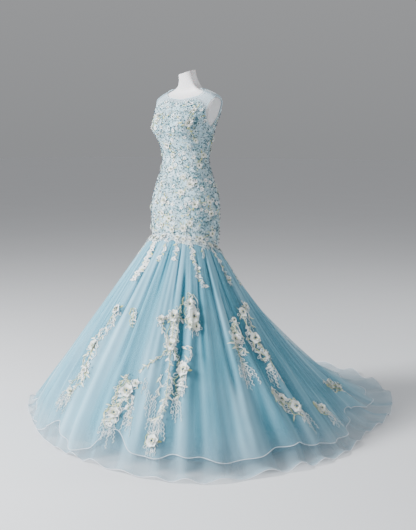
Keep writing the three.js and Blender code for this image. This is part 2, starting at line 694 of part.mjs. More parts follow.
// Where a line out of the cloth leaves the lace.
function laceSurface(host, { at, out }) {
  const { radius, sides } = NEEDLE;
  const needle = new THREE.CylinderGeometry(radius, radius, PRISM, sides).rotateX(Math.PI / 2);
  const { vertProperties, numVert } = host.shell.intersect(standing(needle, { at, out })).getMesh();
  let far = -PRISM;
  for (let i = 0; i < numVert; i++) {
    far = Math.max(far, new THREE.Vector3().fromArray(vertProperties, 3 * i).sub(at).dot(out));
  }
  return at.clone().addScaledVector(out, far);
}

// One motif: stems and leaves cut from its host's shell of lace, and flowers that stand on them.
function motif(host, root, { stems = [], leaves = [], flowers = [] }) {
  const find = (point) => placeFrom(host, root, point);
  const cutters = [];
  for (const { wide, through } of stems) {
    for (let i = 1; i < through.length; i++) {
      cutters.push(prismBetween(host, find(through[i - 1]), find(through[i]), wide, stemOutline));
    }
  }
  for (const { from, to, wide } of leaves) {
    cutters.push(prismBetween(host, find(from), find(to), wide, leafOutline));
  }
  let solid = host.shell.intersect(wasm.Manifold.union(cutters));
  flowers.forEach(({ at, r }, i) => {
    const frame = frameAt(host, find(at));
    const foot = { at: laceSurface(host, frame), out: frame.out };
    solid = solid.add(flowerSolid(foot, r, i).subtract(host.core));
  });
  return geometryOf(solid);
}

// Sprays on the skirt. Each has its root's angle and share of the way down. Points are millimetres
// right and up of the root.
const SPRAYS = {
  spray_front: {
    angle: 32,
    share: 0.554,
    stems: [
      { wide: 15, through: [[-36, 240], [-30, 106], [-24, -110], [-44, -220]] },
      { wide: 15, through: [[-116, 208], [-36, 232], [86, 220]] },
      { wide: 13, through: [[-30, 106], [38, 4], [20, -130]] },
    ],
    leaves: [
      { from: [92, 330], to: [84, 176], wide: 56 },
      { from: [-36, 232], to: [-44, 60], wide: 42 },
      { from: [38, 0], to: [30, -100], wide: 34 },
    ],
    flowers: [
      { at: [88, 262], r: 24 },
      { at: [-36, 232], r: 19 },
      { at: [-30, 106], r: 21 },
      { at: [38, 4], r: 22 },
      { at: [-116, 208], r: 14 },
    ],
  },
  spray_right: {
    angle: -14.5,
    share: 0.507,
    stems: [{ wide: 14, through: [[30, 176], [14, 82], [0, 0], [34, -90], [26, -160], [-6, -250]] }],
    leaves: [
      { from: [34, 190], to: [10, 70], wide: 34 },
      { from: [4, 30], to: [26, -100], wide: 38 },
    ],
    flowers: [
      { at: [30, 176], r: 17 },
      { at: [0, 0], r: 19 },
    ],
  },
  spray_small_front: {
    angle: 2,
    share: 0.362,
    leaves: [
      { from: [-14, 40], to: [14, -8], wide: 24 },
      { from: [4, 14], to: [24, -46], wide: 22 },
    ],
  },
  spray_low: {
    angle: 13.5,
    share: 0.647,
    stems: [
      { wide: 14, through: [[-26, 66], [0, 0], [-20, -76], [-32, -150]] },
      { wide: 12, through: [[0, 0], [34, -104]] },
    ],
    leaves: [
      { from: [0, 44], to: [-22, -66], wide: 46 },
      { from: [-18, -60], to: [-34, -168], wide: 40 },
    ],
    flowers: [
      { at: [0, 0], r: 21 },
      { at: [-24, -96], r: 18 },
    ],
  },
  spray_hem: {
    angle: 27,
    share: 0.82,
    stems: [{ wide: 14, through: [[-26, 24], [0, 0]] }],
    leaves: [{ from: [-26, 30], to: [16, -22], wide: 36 }],
    flowers: [{ at: [0, 0], r: 22 }],
  },
  spray_left: {
    angle: 79,
    share: 0.437,
    stems: [{ wide: 14, through: [[60, 150], [-2, 124], [0, 0], [26, -82], [22, -150]] }],
    leaves: [
      { from: [70, 160], to: [-6, 90], wide: 34 },
      { from: [2, 20], to: [28, -96], wide: 36 },
    ],
    flowers: [
      { at: [-2, 124], r: 18 },
      { at: [0, 0], r: 20 },
      { at: [26, -82], r: 17 },
    ],
  },
  spray_left_inner: {
    angle: 65.5,
    share: 0.429,
    stems: [{ wide: 12, through: [[28, 90], [0, 0], [0, -70], [4, -138]] }],
    leaves: [{ from: [20, 70], to: [-2, -60], wide: 32 }],
    flowers: [{ at: [0, 0], r: 17 }],
  },
  spray_left_low: {
    angle: 82,
    share: 0.73,
    stems: [{ wide: 14, through: [[-66, 90], [-36, 44], [0, 0], [40, -44]] }],
    leaves: [
      { from: [-66, 92], to: [-14, 16], wide: 34 },
      { from: [-10, 20], to: [44, -56], wide: 44 },
    ],
    flowers: [
      { at: [-36, 44], r: 18 },
      { at: [6, -6], r: 20 },
    ],
  },
  spray_left_far: {
    angle: 98,
    share: 0.78,
    stems: [{ wide: 12, through: [[-32, 38], [22, -32]] }],
    leaves: [{ from: [-36, 42], to: [26, -38], wide: 30 }],
    flowers: [{ at: [-6, 4], r: 16 }],
  },
  spray_train_left: {
    angle: 124,
    share: 0.76,
    stems: [{ wide: 14, through: [[-70, 40], [0, 10], [64, -30]] }],
    leaves: [
      { from: [-76, 42], to: [10, 6], wide: 40 },
      { from: [0, 12], to: [74, -34], wide: 34 },
    ],
    flowers: [
      { at: [-40, 26], r: 20 },
      { at: [28, -6], r: 18 },
    ],
  },
  spray_back_left: {
    angle: 152,
    share: 0.5,
    stems: [{ wide: 14, through: [[-10, 120], [0, 0], [14, -140]] }],
    leaves: [
      { from: [-12, 130], to: [0, 0], wide: 38 },
      { from: [4, 0], to: [16, -120], wide: 38 },
    ],
    flowers: [
      { at: [-8, 90], r: 20 },
      { at: [4, -30], r: 20 },
    ],
  },
  spray_back_right: {
    angle: -140,
    share: 0.64,
    stems: [{ wide: 14, through: [[16, 130], [0, 0], [-20, -120]] }],
    leaves: [
      { from: [18, 140], to: [0, 10], wide: 38 },
      { from: [-2, 0], to: [-22, -120], wide: 40 },
    ],
    flowers: [
      { at: [12, 96], r: 20 },
      { at: [-8, -40], r: 21 },
    ],
  },
  spray_side_right: {
    angle: -82,
    share: 0.56,
    stems: [{ wide: 14, through: [[-20, 150], [0, 0], [10, -150]] }],
    leaves: [
      { from: [-22, 160], to: [0, 20], wide: 38 },
      { from: [2, 10], to: [12, -130], wide: 40 },
    ],
    flowers: [
      { at: [-14, 110], r: 20 },
      { at: [4, -30], r: 21 },
    ],
  },
};

// Flowers on the bodice's lace, each group joined by a stem: the root's angle and height, and the flowers'
// places and radii about it.
const BODICE_LACE = [
  { name: "lace_chest_left", angle: 43, z: 1328, flowers: [[-8, 56, 13], [0, 0, 19], [34, -78, 13]] },
  { name: "lace_chest_right", angle: -25, z: 1345, flowers: [[2, 18, 13], [10, -10, 12], [-24, -42, 13]] },
  { name: "lace_rib_front", angle: -12, z: 1238, flowers: [[0, 0, 17], [24, -46, 12], [18, -108, 14]] },
  { name: "lace_rib_left", angle: 72, z: 1190, flowers: [[8, 4, 15], [-12, -42, 14]] },
  { name: "lace_rib_right", angle: -62, z: 1196, flowers: [[0, 0, 14], [-6, -56, 14]] },
  { name: "lace_waist_left", angle: 25, z: 1099, flowers: [[0, 0, 13], [30, -32, 19], [-8, -68, 15]] },
  { name: "lace_waist_right", angle: -7, z: 999, flowers: [[-42, 74, 14], [-56, -8, 13], [0, 0, 19]] },
  { name: "lace_hip_left", angle: 48, z: 986, flowers: [[-4, 0, 18], [60, 6, 14], [66, -42, 16]] },
  { name: "lace_hip_front", angle: -9, z: 943, flowers: [[0, 0, 13], [34, -20, 14], [-6, -50, 13]] },
  { name: "lace_hip_right", angle: -58, z: 962, flowers: [[0, 0, 17], [-22, -52, 15]] },
  { name: "lace_edge_front", angle: 26, z: 884, flowers: [[30, 22, 15], [0, 0, 18], [-52, -8, 13]] },
  { name: "lace_edge_left", angle: 62, z: 858, flowers: [[-14, -18, 14], [40, 0, 15]] },
  { name: "lace_edge_right", angle: -52, z: 874, flowers: [[0, 0, 17], [-40, 10, 14]] },
  { name: "lace_back_rib_left", angle: 108, z: 1262, flowers: [[0, 0, 15], [18, -52, 14]] },
  { name: "lace_back_rib_right", angle: -118, z: 1240, flowers: [[0, 0, 15], [-20, -54, 14]] },
  { name: "lace_back_waist_left", angle: 110, z: 1060, flowers: [[0, 0, 14], [26, -40, 17]] },
  { name: "lace_back_waist_right", angle: -124, z: 1068, flowers: [[0, 0, 15], [16, -44, 17]] },
  { name: "lace_back_hip_left", angle: 132, z: 906, flowers: [[0, 0, 18], [40, -24, 15]] },
  { name: "lace_back_hip_right", angle: -134, z: 900, flowers: [[0, 0, 18], [-38, -26, 15]] },
];

const STEM_WIDTH = 9;

function bodiceMotif(hosts, { angle, z, flowers }) {
  const back = angle > 0 ? hosts.left : hosts.right;
  const host = Math.abs(angle) < SIDE_SEAM ? hosts.front : back;
  const places = flowers.map(([x, y]) => [x, y]);
  const stems = [{ wide: STEM_WIDTH, through: places }];
  const blooms = flowers.map(([x, y, r]) => ({ at: [x, y], r }));
  return motif(host, { a: radians(angle), b: z }, { stems, flowers: blooms });
}

// ---------------------------------------------------------------- the assembled object

const MATERIALS = {
  form: { color: 0xe4e0e0, roughness: 0.45, metalness: 0 },
  steel: { color: 0xb9bcc0, roughness: 0.3, metalness: 1 },
  lace: { color: 0xb4d2de, roughness: 0.75, metalness: 0 },
  yoke: { color: 0xa9c3d0, roughness: 0.8, metalness: 0 },
  tulle: { color: 0x9cc6d6, roughness: 0.8, metalness: 0 },
  lining: { color: 0x6fb0c2, roughness: 0.5, metalness: 0 },
  applique: { color: 0xe6ead9, roughness: 0.7, metalness: 0 },
};
const material = Object.fromEntries(
  Object.entries(MATERIALS).map(([name, look]) => [name, new THREE.MeshStandardMaterial(look)]),
);

const gown = new THREE.Group();
const form = new THREE.Group();
gown.add(form);

function addPiece(group, name, geometry, look) {
  const mesh = new THREE.Mesh(geometry, material[look]);
  mesh.name = name;
  group.add(mesh);
}

addPiece(form, "form_torso", formTorso(), "form");
addPiece(form, "form_arm_plate_left", armPlate(1), "form");
addPiece(form, "form_arm_plate_right", armPlate(-1), "form");
addPiece(form, "form_pole", formPole(), "steel");
addPiece(form, "form_base", formBase(), "steel");

addPiece(gown, "bodice_front", panel(frontLace, WALL.bodice), "lace");
addPiece(gown, "bodice_back_left", panel(backLace(1), WALL.bodice), "lace");
addPiece(gown, "bodice_back_right", panel(backLace(-1), WALL.bodice), "lace");
addPiece(gown, "yoke_front", frontYoke(), "yoke");
addPiece(gown, "yoke_back_left", backYoke(1), "yoke");
addPiece(gown, "yoke_back_right", backYoke(-1), "yoke");
addPiece(gown, "back_placket", backPlacket(), "lace");

for (const [name, look] of [["over", "tulle"], ["under", "tulle"], ["lining", "lining"]]) {
  for (const quarter of QUARTERS) {
    addPiece(gown, `skirt_${name}_${quarter.name}`, skirtPanel(name, quarter.from), look);
  }
}

const overTulle = skirtHost();
for (const [name, spray] of Object.entries(SPRAYS)) {
  const root = { a: radians(spray.angle), b: spray.share };
  addPiece(gown, name, motif(overTulle, root, spray), "applique");
}

const lace = {
  front: bodiceHostOf(frontLace),
  left: bodiceHostOf(backLace(1)),
  right: bodiceHostOf(backLace(-1)),
};
for (const row of BODICE_LACE) addPiece(gown, row.name, bodiceMotif(lace, row), "applique");

export default gown;
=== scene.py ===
"""Looks of a mermaid evening gown on a limbless dress form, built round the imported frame.

The gown faces -Y, the wearer's left is +X and the train lies towards +Y. Angles run round the pole
from 0 at the front through a quarter turn at the wearer's left. Shapes are worked out in
millimetres and scaled to metres as each mesh is made.
"""

import logging
import math
from dataclasses import dataclass, field
from enum import Enum
from typing import Callable, Iterator, Protocol

import bmesh
import bpy
import numpy as np
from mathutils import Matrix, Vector


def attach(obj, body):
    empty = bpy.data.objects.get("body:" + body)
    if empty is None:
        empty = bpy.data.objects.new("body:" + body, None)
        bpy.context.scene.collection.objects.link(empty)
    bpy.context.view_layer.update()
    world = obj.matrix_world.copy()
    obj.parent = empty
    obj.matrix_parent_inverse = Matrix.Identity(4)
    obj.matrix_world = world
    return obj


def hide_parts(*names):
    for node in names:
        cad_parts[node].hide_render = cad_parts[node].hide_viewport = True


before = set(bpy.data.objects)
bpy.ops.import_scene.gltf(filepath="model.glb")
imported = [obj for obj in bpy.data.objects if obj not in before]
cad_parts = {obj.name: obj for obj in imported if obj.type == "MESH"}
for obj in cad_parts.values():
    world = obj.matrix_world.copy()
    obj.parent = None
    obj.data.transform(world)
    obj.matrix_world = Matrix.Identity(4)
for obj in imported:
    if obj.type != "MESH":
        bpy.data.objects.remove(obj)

MM = 0.001
TURN = 2 * math.pi
ROOT = "root"
HUMP = 27 / 4  # brings x * (1 - x) ** 2 to 1 at its highest
LOG = logging.getLogger("gown")

Points = np.ndarray
Faces = list[tuple[Points, int]]
Surface = Callable[[Points, Points], Points]
Colour = tuple[float, float, float]
Wave = tuple[float, float, float]  # how many go round, height, shift
Spot = tuple[float, float]  # right and up, or out and up
Row3 = tuple[float, float, float]
Row5 = tuple[float, float, float, float, float]
BMesh = bmesh.types.BMesh
BMEdge = bmesh.types.BMEdge
Piece = bpy.types.Object
Material = bpy.types.Material
Tree = bpy.types.NodeTree
Node = bpy.types.Node
Socket = bpy.types.NodeSocket


# ---- curves through tables


def smooth(table: Points, at: Points, column: int = 1) -> Points:
    """Reads a smooth curve through a table's rows.

    Args:
        table: Rows of a running value and what is read there.
        at: The running values to read at.
        column: The column to read.

    Returns:
        The column's value at each place.
    """
    keys, values = table[:, 0], table[:, column]
    last = len(keys) - 1
    at = np.clip(at, keys[0], keys[-1])
    i = np.clip(np.searchsorted(keys, at, side="left") - 1, 0, last - 1)
    before, after = np.maximum(np.arange(last + 1) - 1, 0), np.minimum(np.arange(last + 1) + 1, last)
    slopes = (values[after] - values[before]) / (keys[after] - keys[before])
    width, rise = keys[i + 1] - keys[i], values[i + 1] - values[i]
    part = (at - keys[i]) / width
    m0, m1 = slopes[i] * width, slopes[i + 1] * width
    bend = (3 * rise - 2 * m0 - m1) * part**2 + (m0 + m1 - 2 * rise) * part**3
    return values[i] + m0 * part + bend


def bell(distance: Points, width: float | Points) -> Points:
    """Returns a soft bump that is 1 at no distance."""
    return np.exp(-((distance / width) ** 2))


def ease(value: Points, low: float, high: float) -> Points:
    """Returns a soft step from 0 at low to 1 at high."""
    part = np.clip((value - low) / (high - low), 0, 1)
    return part * part * (3 - 2 * part)


def window(value: Points, start: float, full: float, fading: float, end: float) -> Points:
    """Returns a soft step up from start to full, and down again from fading to end."""
    return ease(value, start, full) * (1 - ease(value, fading, end))


def waves(angle: Points, table: tuple[Wave, ...]) -> Points:
    """Adds up the waves of a table round the gown."""
    return sum(height * np.sin(count * angle + shift) for count, height, shift in table)


def degrees_off(degrees: Points, middle: float | Points) -> Points:
    """Returns how many degrees round places are from a middle, up to half a turn either way."""
    return (degrees - middle + 180) % 360 - 180


def rows(*values: tuple[float, ...]) -> Points:
    """Returns a dataclass field that holds a table's rows."""
    return field(default_factory=lambda: np.array(values, float))


def wrap(angle: Points) -> Points:
    """Brings angles into half a turn either way."""
    return (angle + math.pi) % TURN - math.pi


def unit(vectors: Points) -> Points:
    """Scales vectors to length one."""
    return vectors / np.linalg.norm(vectors, axis=-1, keepdims=True)


def normal_of(surface: Surface, a: Points, b: Points, da: float, db: float) -> Points:
    """Finds a surface's normals by small differences.

    Args:
        surface: Points of two running values.
        a: First running value.
        b: Second running value.
        da: Small step of the first.
        db: Small step of the second.

    Returns:
        Unit normals.
    """
    along_a = surface(a + da, b) - surface(a - da, b)
    along_b = surface(a, b + db) - surface(a, b - db)
    return unit(np.cross(along_a, along_b))


def catmull(points: Points, count: int) -> Points:
    """Rounds a polyline into a smooth path through its points.

    Args:
        points: The polyline.
        count: How many points the path has.

    Returns:
        The path's points.
    """
    points = np.asarray(points, float)
    keys = np.arange(len(points), dtype=float)
    at = np.linspace(0, len(points) - 1, count)
    if len(points) == 2:
        return points[0] + (points[1] - points[0]) * at[:, None]
    columns = [smooth(np.column_stack([keys, points[:, c]]), at) for c in range(points.shape[1])]
    return np.column_stack(columns)


# ---- the body and the skirt's cut


@dataclass
class Body:
    """The body's measures, from which the form and the gown are worked out."""

    sections: Points = rows(
        # height, half width, front, back
        (696, 143, 110, 76),
        (846, 158, 122, 80),
        (931, 161, 124, 81),
        (987, 159, 122, 81),
        (1034, 149, 113, 77),
        (1081, 132, 102, 70),
        (1128, 115, 90, 62),
        (1170, 106, 83, 58),
        (1203, 108, 85, 61),
        (1241, 117, 93, 67),
        (1279, 126, 105, 76),
        (1312, 134, 110, 86),
        (1340, 142, 106, 96),
        (1368, 152, 90, 106),
        (1396, 161, 68, 113),
        (1422, 166, 45, 115),
        (1440, 159, 28, 112),
        (1454, 138, 19, 106),
        (1466, 107, 15, 99),
        (1477, 76, 14, 92),
        (1490, 54, 16, 84),
        (1508, 45, 20, 73),
        (1534, 41, 29, 54),
        (1590, 40, 50, 32),
    )
    squareness: float = 2.25
    bust_x: float = 72
    bust_z: float = 1312
    bust_reach: float = 34
    bust_spread: float = 50
    bust_above: float = 73
    bust_below: float = 43
    bust_fade: float = 2.2
    step_angle: float = 0.01
    step_z: float = 2

    def skin(self, angle: Points, z: Points) -> Points:
        """Returns points of the body's surface at angles and heights.

        Args:
            angle: Angles round the body.
            z: Heights.

        Returns:
            The points.
        """
        angle, z = np.broadcast_arrays(np.asarray(angle, float), np.asarray(z, float))
        wide, front, back = (smooth(self.sections, z, column) for column in (1, 2, 3))
        power = 2 / self.squareness
        s, c = np.sin(angle), np.cos(angle)
        x = wide * np.sign(s) * np.abs(s) ** power
        y = -np.where(c > 0, front, back) * np.sign(c) * np.abs(c) ** power
        rise = bell(z - self.bust_z, np.where(z > self.bust_z, self.bust_above, self.bust_below))
        cups = bell(x - self.bust_x, self.bust_spread) + bell(x + self.bust_x, self.bust_spread)
        push = np.where(c > 0, self.bust_reach * rise * cups * np.minimum(1, c * self.bust_fade), 0)
        return np.stack([x, y - push, z + 0 * x], -1)

    def off(self, angle: Points, z: Points, distance: float | Points) -> Points:
        """Returns points at a distance off the body's surface."""
        normal = normal_of(self.skin, angle, z, self.step_angle, self.step_z)
        return self.skin(angle, z) + normal * np.asarray(distance, float)[..., None]


class Layer(Enum):
    """A layer of the skirt: how far it stands off the under tulle at the seam, and more at the hem."""

    OVER = (1.8, 14.0)
    UNDER = (0.0, 0.0)
    LINING = (-2.6, -26.0)


@dataclass
class SkirtCut:
    """The skirt's shape: a cone with gathers that settles on the floor and spreads into a train."""

    body: Body
    seam_middle: float = 800
    seam_rise: float = 52
    cone_radius: float = 700
    folds: int = 36
    fold_depth: float = 0.135
    fold_start: float = 0.1
    fold_full: float = 0.5
    puff_rise: float = 0.02
    puff_over: float = 0.03
    bulge: float = 0.7
    fullness: float = 18
    floor_reached: float = 0.94
    floor_softness: float = 0.0006
    floor_clear: float = 2
    bodice_outer: float = 3.5
    over_hem: float = 0.915
    over_ripple: float = 0.007
    fine_waves: tuple[int, ...] = (61, 83, 97)
    fine_depth: float = 5.5
    uneven_waves: tuple[Wave, ...] = ((3, 1.4, 0.4), (8, 0.9, 1.3))
    depth_waves: tuple[Wave, ...] = ((5, 0.32, 2.0), (11, 0.24, 0.6))
    crease_in: float = 0.1
    crease_out: float = 0.18
    seam_points: int = 2881
    seam_drop: float = 0.15
    seam_out: float = 0.2
    floor_lift: float = 0.9
    hem_lift: int = 6
    hem: Points = rows(
        # degrees round, radius
        (-180, 1200),
        (-150, 1075),
        (-120, 925),
        (-90, 855),
        (-70, 815),
        (-45, 705),
        (-15, 675),
        (10, 705),
        (42, 800),
        (62, 785),
        (90, 810),
        (112, 815),
        (130, 925),
        (155, 1090),
        (180, 1200),
    )
    lifts: tuple[Row3, ...] = (
        # degrees round, width, lift of the over tulle's hem
        (-128, 11, 0.05),
        (-84, 9, 0.07),
        (-50, 7, 0.06),
        (-14, 7, 0.08),
        (13, 7, 0.11),
        (36, 14, 0.05),
        (72, 14, 0.05),
        (118, 9, 0.07),
        (160, 12, 0.05),
    )
    creases: tuple[tuple[float, ...], ...] = (
        # degrees round at the top, drift down the skirt, start, end, width in degrees, depth
        (12, 6, 0.0, 0.3, 1.1, 7),
        (15.5, 4, 0.0, 0.22, 0.8, 5),
        (4, 3, 0.05, 0.62, 1.5, 9),
        (-6, -2, 0.02, 0.45, 1.2, 8),
        (-17, -3, 0.0, 0.7, 1.4, 9),
        (-29, 2, 0.04, 0.5, 1.3, 8),
        (-41, -3, 0.0, 0.66, 1.6, 10),
        (26, 3, 0.0, 0.36, 1.1, 7),
        (34, -1, 0.12, 0.74, 1.8, 9),
        (47, -1, 0.05, 0.6, 1.5, 9),
        (58, 2, 0.02, 0.72, 1.5, 13),
        (66, 0, 0.15, 0.55, 1.2, 8),
        (70, 5, 0.0, 0.62, 1.3, 11),
        (80, 9, 0.06, 0.78, 1.6, 13),
        (91, 5, 0.0, 0.6, 1.3, 9),
        (101, 3, 0.1, 0.8, 1.7, 12),
        (113, 4, 0.0, 0.7, 1.4, 10),
        (127, 2, 0.04, 0.82, 1.8, 12),
        (139, 5, 0.0, 0.5, 1.2, 8),
        (152, -2, 0.08, 0.8, 1.7, 12),
        (166, 3, 0.0, 0.66, 1.4, 9),
        (178, -4, 0.03, 0.84, 1.9, 12),
        (-169, 2, 0.0, 0.5, 1.2, 8),
        (-156, -3, 0.1, 0.8, 1.7, 12),
        (-143, 2, 0.0, 0.62, 1.3, 9),
        (-129, -4, 0.05, 0.8, 1.6, 11),
        (-116, 2, 0.0, 0.48, 1.2, 8),
        (-104, -3, 0.03, 0.76, 1.6, 11),
        (-91, 2, 0.0, 0.6, 1.3, 9),
        (-78, -4, 0.06, 0.78, 1.6, 11),
        (-66, 2, 0.0, 0.5, 1.2, 8),
        (-54, -3, 0.03, 0.74, 1.5, 11),
    )

    def __post_init__(self) -> None:
        """Works out the seam line once, as it is read often."""
        self._angles = np.linspace(-math.pi, math.pi, self.seam_points)
        height = self.seam_height(self._angles) - self.seam_drop
        self._top = self.body.off(self._angles, height, self.bodice_outer + self.seam_out)
        self._top_radius = np.hypot(self._top[:, 0], self._top[:, 1])
        count = 2 * self.folds
        self._phase_angles = np.array([self._angle_at_phase(k * math.pi) for k in range(-count, count + 1)])

    def seam_height(self, angle: Points) -> Points:
        """Returns the height of the seam between the bodice and the skirt."""
        return self.seam_middle + self.seam_rise * np.cos(angle)

    def phase(self, angle: Points) -> Points:
        """Returns the gathers' phase, which runs unevenly round the skirt."""
        return self.folds * angle + waves(angle, self.uneven_waves)

    def strength(self, angle: Points) -> Points:
        """Returns how deep the gathers are round the skirt."""
        return 1 + waves(angle, self.depth_waves)

    def _angle_at_phase(self, phase: float) -> float:
        """Finds the angle at which the gathers reach a phase.

        Args:
            phase: The phase.

        Returns:
            The angle.
        """
        angle = phase / self.folds
        for _ in range(40):
            angle -= (float(self.phase(np.float64(angle))) - phase) / (self.folds + 12)
        return angle

    def column_angle(self, k: int) -> float:
        """Returns the angle of the crest or hollow numbered k."""
        return float(self._phase_angles[k + 2 * self.folds])

    def _top_at(self, angle: Points) -> tuple[Points, Points]:
        """Returns the seam line's points and their radius."""
        at = wrap(angle)
        top = np.stack([np.interp(at, self._angles, self._top[:, c]) for c in range(3)], -1)
        return top, np.interp(at, self._angles, self._top_radius)

    def calm(self, angle: Points, share: Points) -> Points:
        """Returns points of the under tulle with its gathers smoothed out.

        Args:
            angle: Angles round the gown.
            share: Shares of the way down, from 0 at the seam to 1 at the hem.

        Returns:
            The points.
        """
        angle, share = np.broadcast_arrays(np.asarray(angle, float), np.asarray(share, float))
        top, radius = self._top_at(angle)
        down = np.maximum(share, 0)
        puff = self.puff_rise * (1 - np.exp(-down / self.puff_over))
        cone = puff + (1 - self.puff_rise) * down + self.bulge * down**3 * (1 - down)
        full = self.fullness * np.cos(angle) * HUMP * down * (1 - down) ** 2
        hem = smooth(self.hem, np.degrees(wrap(angle)))
        spread = (self.cone_radius - radius) * cone + full + (hem - self.cone_radius) * down**5
        height = self.floor_clear + (top[..., 2] - self.floor_clear) * self._height_share(share)
        x = top[..., 0] + np.sin(angle) * spread
        y = top[..., 1] - np.cos(angle) * spread
        return np.stack([x, y, height], -1)

    def _height_share(self, share: Points) -> Points:
        """Returns height by share: straight to the floor, then along it."""
        drop = 1 - share / self.floor_reached
        return (drop + np.sqrt(drop**2 + self.floor_softness)) / (1 + math.sqrt(1 + self.floor_softness))

    def out(self, angle: Points, share: Points) -> Points:
        """Returns the skirt's outward normals."""
        return -normal_of(self.calm, angle, share, 0.02, 0.01)

    def crease(self, angle: Points, share: Points) -> Points:
        """Returns how far the creases draw the cloth in.

        Args:
            angle: Angles round the gown.
            share: Shares of the way down.

        Returns:
            Millimetres, below 0 where the cloth is drawn in.
        """
        degrees = np.degrees(angle)
        drawn = np.zeros(np.broadcast(angle, share).shape)
        for top, drift, start, end, width, depth in self.creases:
            away = degrees_off(degrees - top, drift * share)
            deep = depth * window(share, start, start + self.crease_in, end - self.crease_out, end)
            drawn -= deep * bell(away, width * (0.7 + 0.6 * share))
        return drawn

    def _fine(self, angle: Points, share: Points, shift: float) -> Points:
        """Returns the fine gathers' height, from 0 up, which the floor presses out.

        Args:
            angle: Angles round the gown.
            share: Shares of the way down.
            shift: A shift that sets the layers apart.

        Returns:
            Millimetres.
        """
        total = np.zeros(np.broadcast(angle, share).shape)
        for i, count in enumerate(self.fine_waves):
            drift = 1.9 * np.sin((4 + i) * angle + shift + i)
            drift = drift + 2.2 * share * np.sin(3 * angle + 2 * i + shift)
            total += 0.5 + 0.5 * np.cos(count * angle + drift + shift * i)
        depth = self.fine_depth * (0.06 + 0.94 * ease(share, 0.0, 0.45)) * (1 - ease(share, 0.8, 0.93))
        return depth * total / len(self.fine_waves)

    def skin(self, layer: Layer, angle: Points, share: Points, lift: float | Points = 0.0) -> Points:
        """Returns points of a layer with its gathers and creases.

        Args:
            layer: The layer.
            angle: Angles round the gown.
            share: Shares of the way down.
            lift: How far off the layer.

        Returns:
            The points.
        """
        angle, share = np.broadcast_arrays(np.asarray(angle, float), np.asarray(share, float))
        seam, hem = layer.value
        calm = self.calm(angle, share)
        width = TURN * np.hypot(calm[..., 0], calm[..., 1]) / self.folds
        ramp = self.fold_start + (1 - self.fold_start) * ease(share, 0, self.fold_full)
        depth = self.fold_depth * width * ramp * self.strength(angle)
        swell = np.sin(7 * angle + 5.5 * share + 1.0)
        fade = 1 + 0.45 * window(share, 0.08, 0.3, 0.75, 0.95) * swell
        bent = self.phase(angle) + self.wander(angle, share)
        wave = 0.5 * depth * (np.cos(bent) * fade + np.maximum(share, 0) ** self.hem_lift)
        reach = seam + hem * share + wave + self.crease(angle, share)
        side, shift = {Layer.OVER: (1, 0.7), Layer.UNDER: (-1, 2.1), Layer.LINING: (-1, 4.4)}[layer]
        reach = reach + side * self._fine(angle, share, shift)
        point = calm + self.out(angle, share) * (reach + lift)[..., None]
        point[..., 2] = np.maximum(point[..., 2], self.floor_lift + np.asarray(lift) + 0 * reach)
        return point

    def wander(self, angle: Points, share: Points) -> Points:
        """Returns how far the gathers' phase strays on the way down the skirt."""
        stray = 0.9 * np.sin(5 * angle + 4.2 * share) + 0.6 * np.sin(12 * angle + 7 * share + 1.7)
        return window(share, 0.06, 0.4, 0.86, 0.97) * stray

    def over_hem_share(self, angle: Points) -> Points:
        """Returns the share at which the over tulle ends.

        Args:
            angle: Angles round the gown.

        Returns:
            The shares.
        """
        degrees = np.degrees(wrap(angle))
        share = self.over_hem + self.over_ripple * np.cos(self.phase(angle))
        for middle, wide, lift in self.lifts:
            share = share - lift * bell(degrees_off(degrees, middle), wide)
        return share


# ---- cloth that lace lies on


class Cloth(Protocol):
    """A surface that motifs are laid on, in millimetres right and up of a place."""

    step_a: float
    step_b: float
    up: float

    def at(self, a: Points, b: Points, lift: Points) -> Points:
        """Returns points of the cloth, lifted off it."""


@dataclass
class BodiceCloth:
    """The bodice's outer face by angle and height."""

    body: Body
    outer: float = 3.5
    step_a: float = 0.03
    step_b: float = 3.0
    up: float = 1.0

    def at(self, a: Points, b: Points, lift: Points) -> Points:
        """Returns points of the bodice, lifted off it."""
        return self.body.off(a, b, self.outer + lift)


@dataclass
class SkirtCloth:
    """The over tulle's outer face by angle and share of the way down."""

    cut: SkirtCut
    step_a: float = 0.03
    step_b: float = 0.02
    up: float = -1.0

    def at(self, a: Points, b: Points, lift: Points) -> Points:
        """Returns points of the over tulle, lifted off it."""
        return self.cut.skin(Layer.OVER, a, b, lift)


def cloth_scale(cloth: Cloth, a: Points, b: Points) -> tuple[Points, Points]:
    """Finds how many millimetres the cloth runs for each unit of its two running values.

    Args:
        cloth: The cloth.
        a: First running value at each place.
        b: Second running value at each place.

    Returns:
        Millimetres per unit of a, and of b, which is negative where b runs down.
    """
    flat = np.zeros(np.shape(a))
    across = cloth.at(a + cloth.step_a, b, flat) - cloth.at(a - cloth.step_a, b, flat)
    along = cloth.at(a, b + cloth.step_b, flat) - cloth.at(a, b - cloth.step_b, flat)
    per_a = np.linalg.norm(across, axis=-1) / (2 * cloth.step_a)
    per_b = np.linalg.norm(along, axis=-1) / (2 * cloth.step_b)
    return per_a, cloth.up * per_b


def places_from(cloth: Cloth, root: tuple[float, float], points: Points) -> tuple[Points, Points]:
    """Finds the places that lie right and up, in millimetres, of a root.

    Args:
        cloth: The cloth.
        root: The root's two running values.
        points: Rows of millimetres right and up.

    Returns:
        The two running values of each place.
    """
    points = np.atleast_2d(np.asarray(points, float))
    per_a, per_b = cloth_scale(cloth, np.array([root[0]]), np.array([root[1]]))
    return root[0] + points[:, 0] / per_a, root[1] + points[:, 1] / per_b


# ---- lace shapes


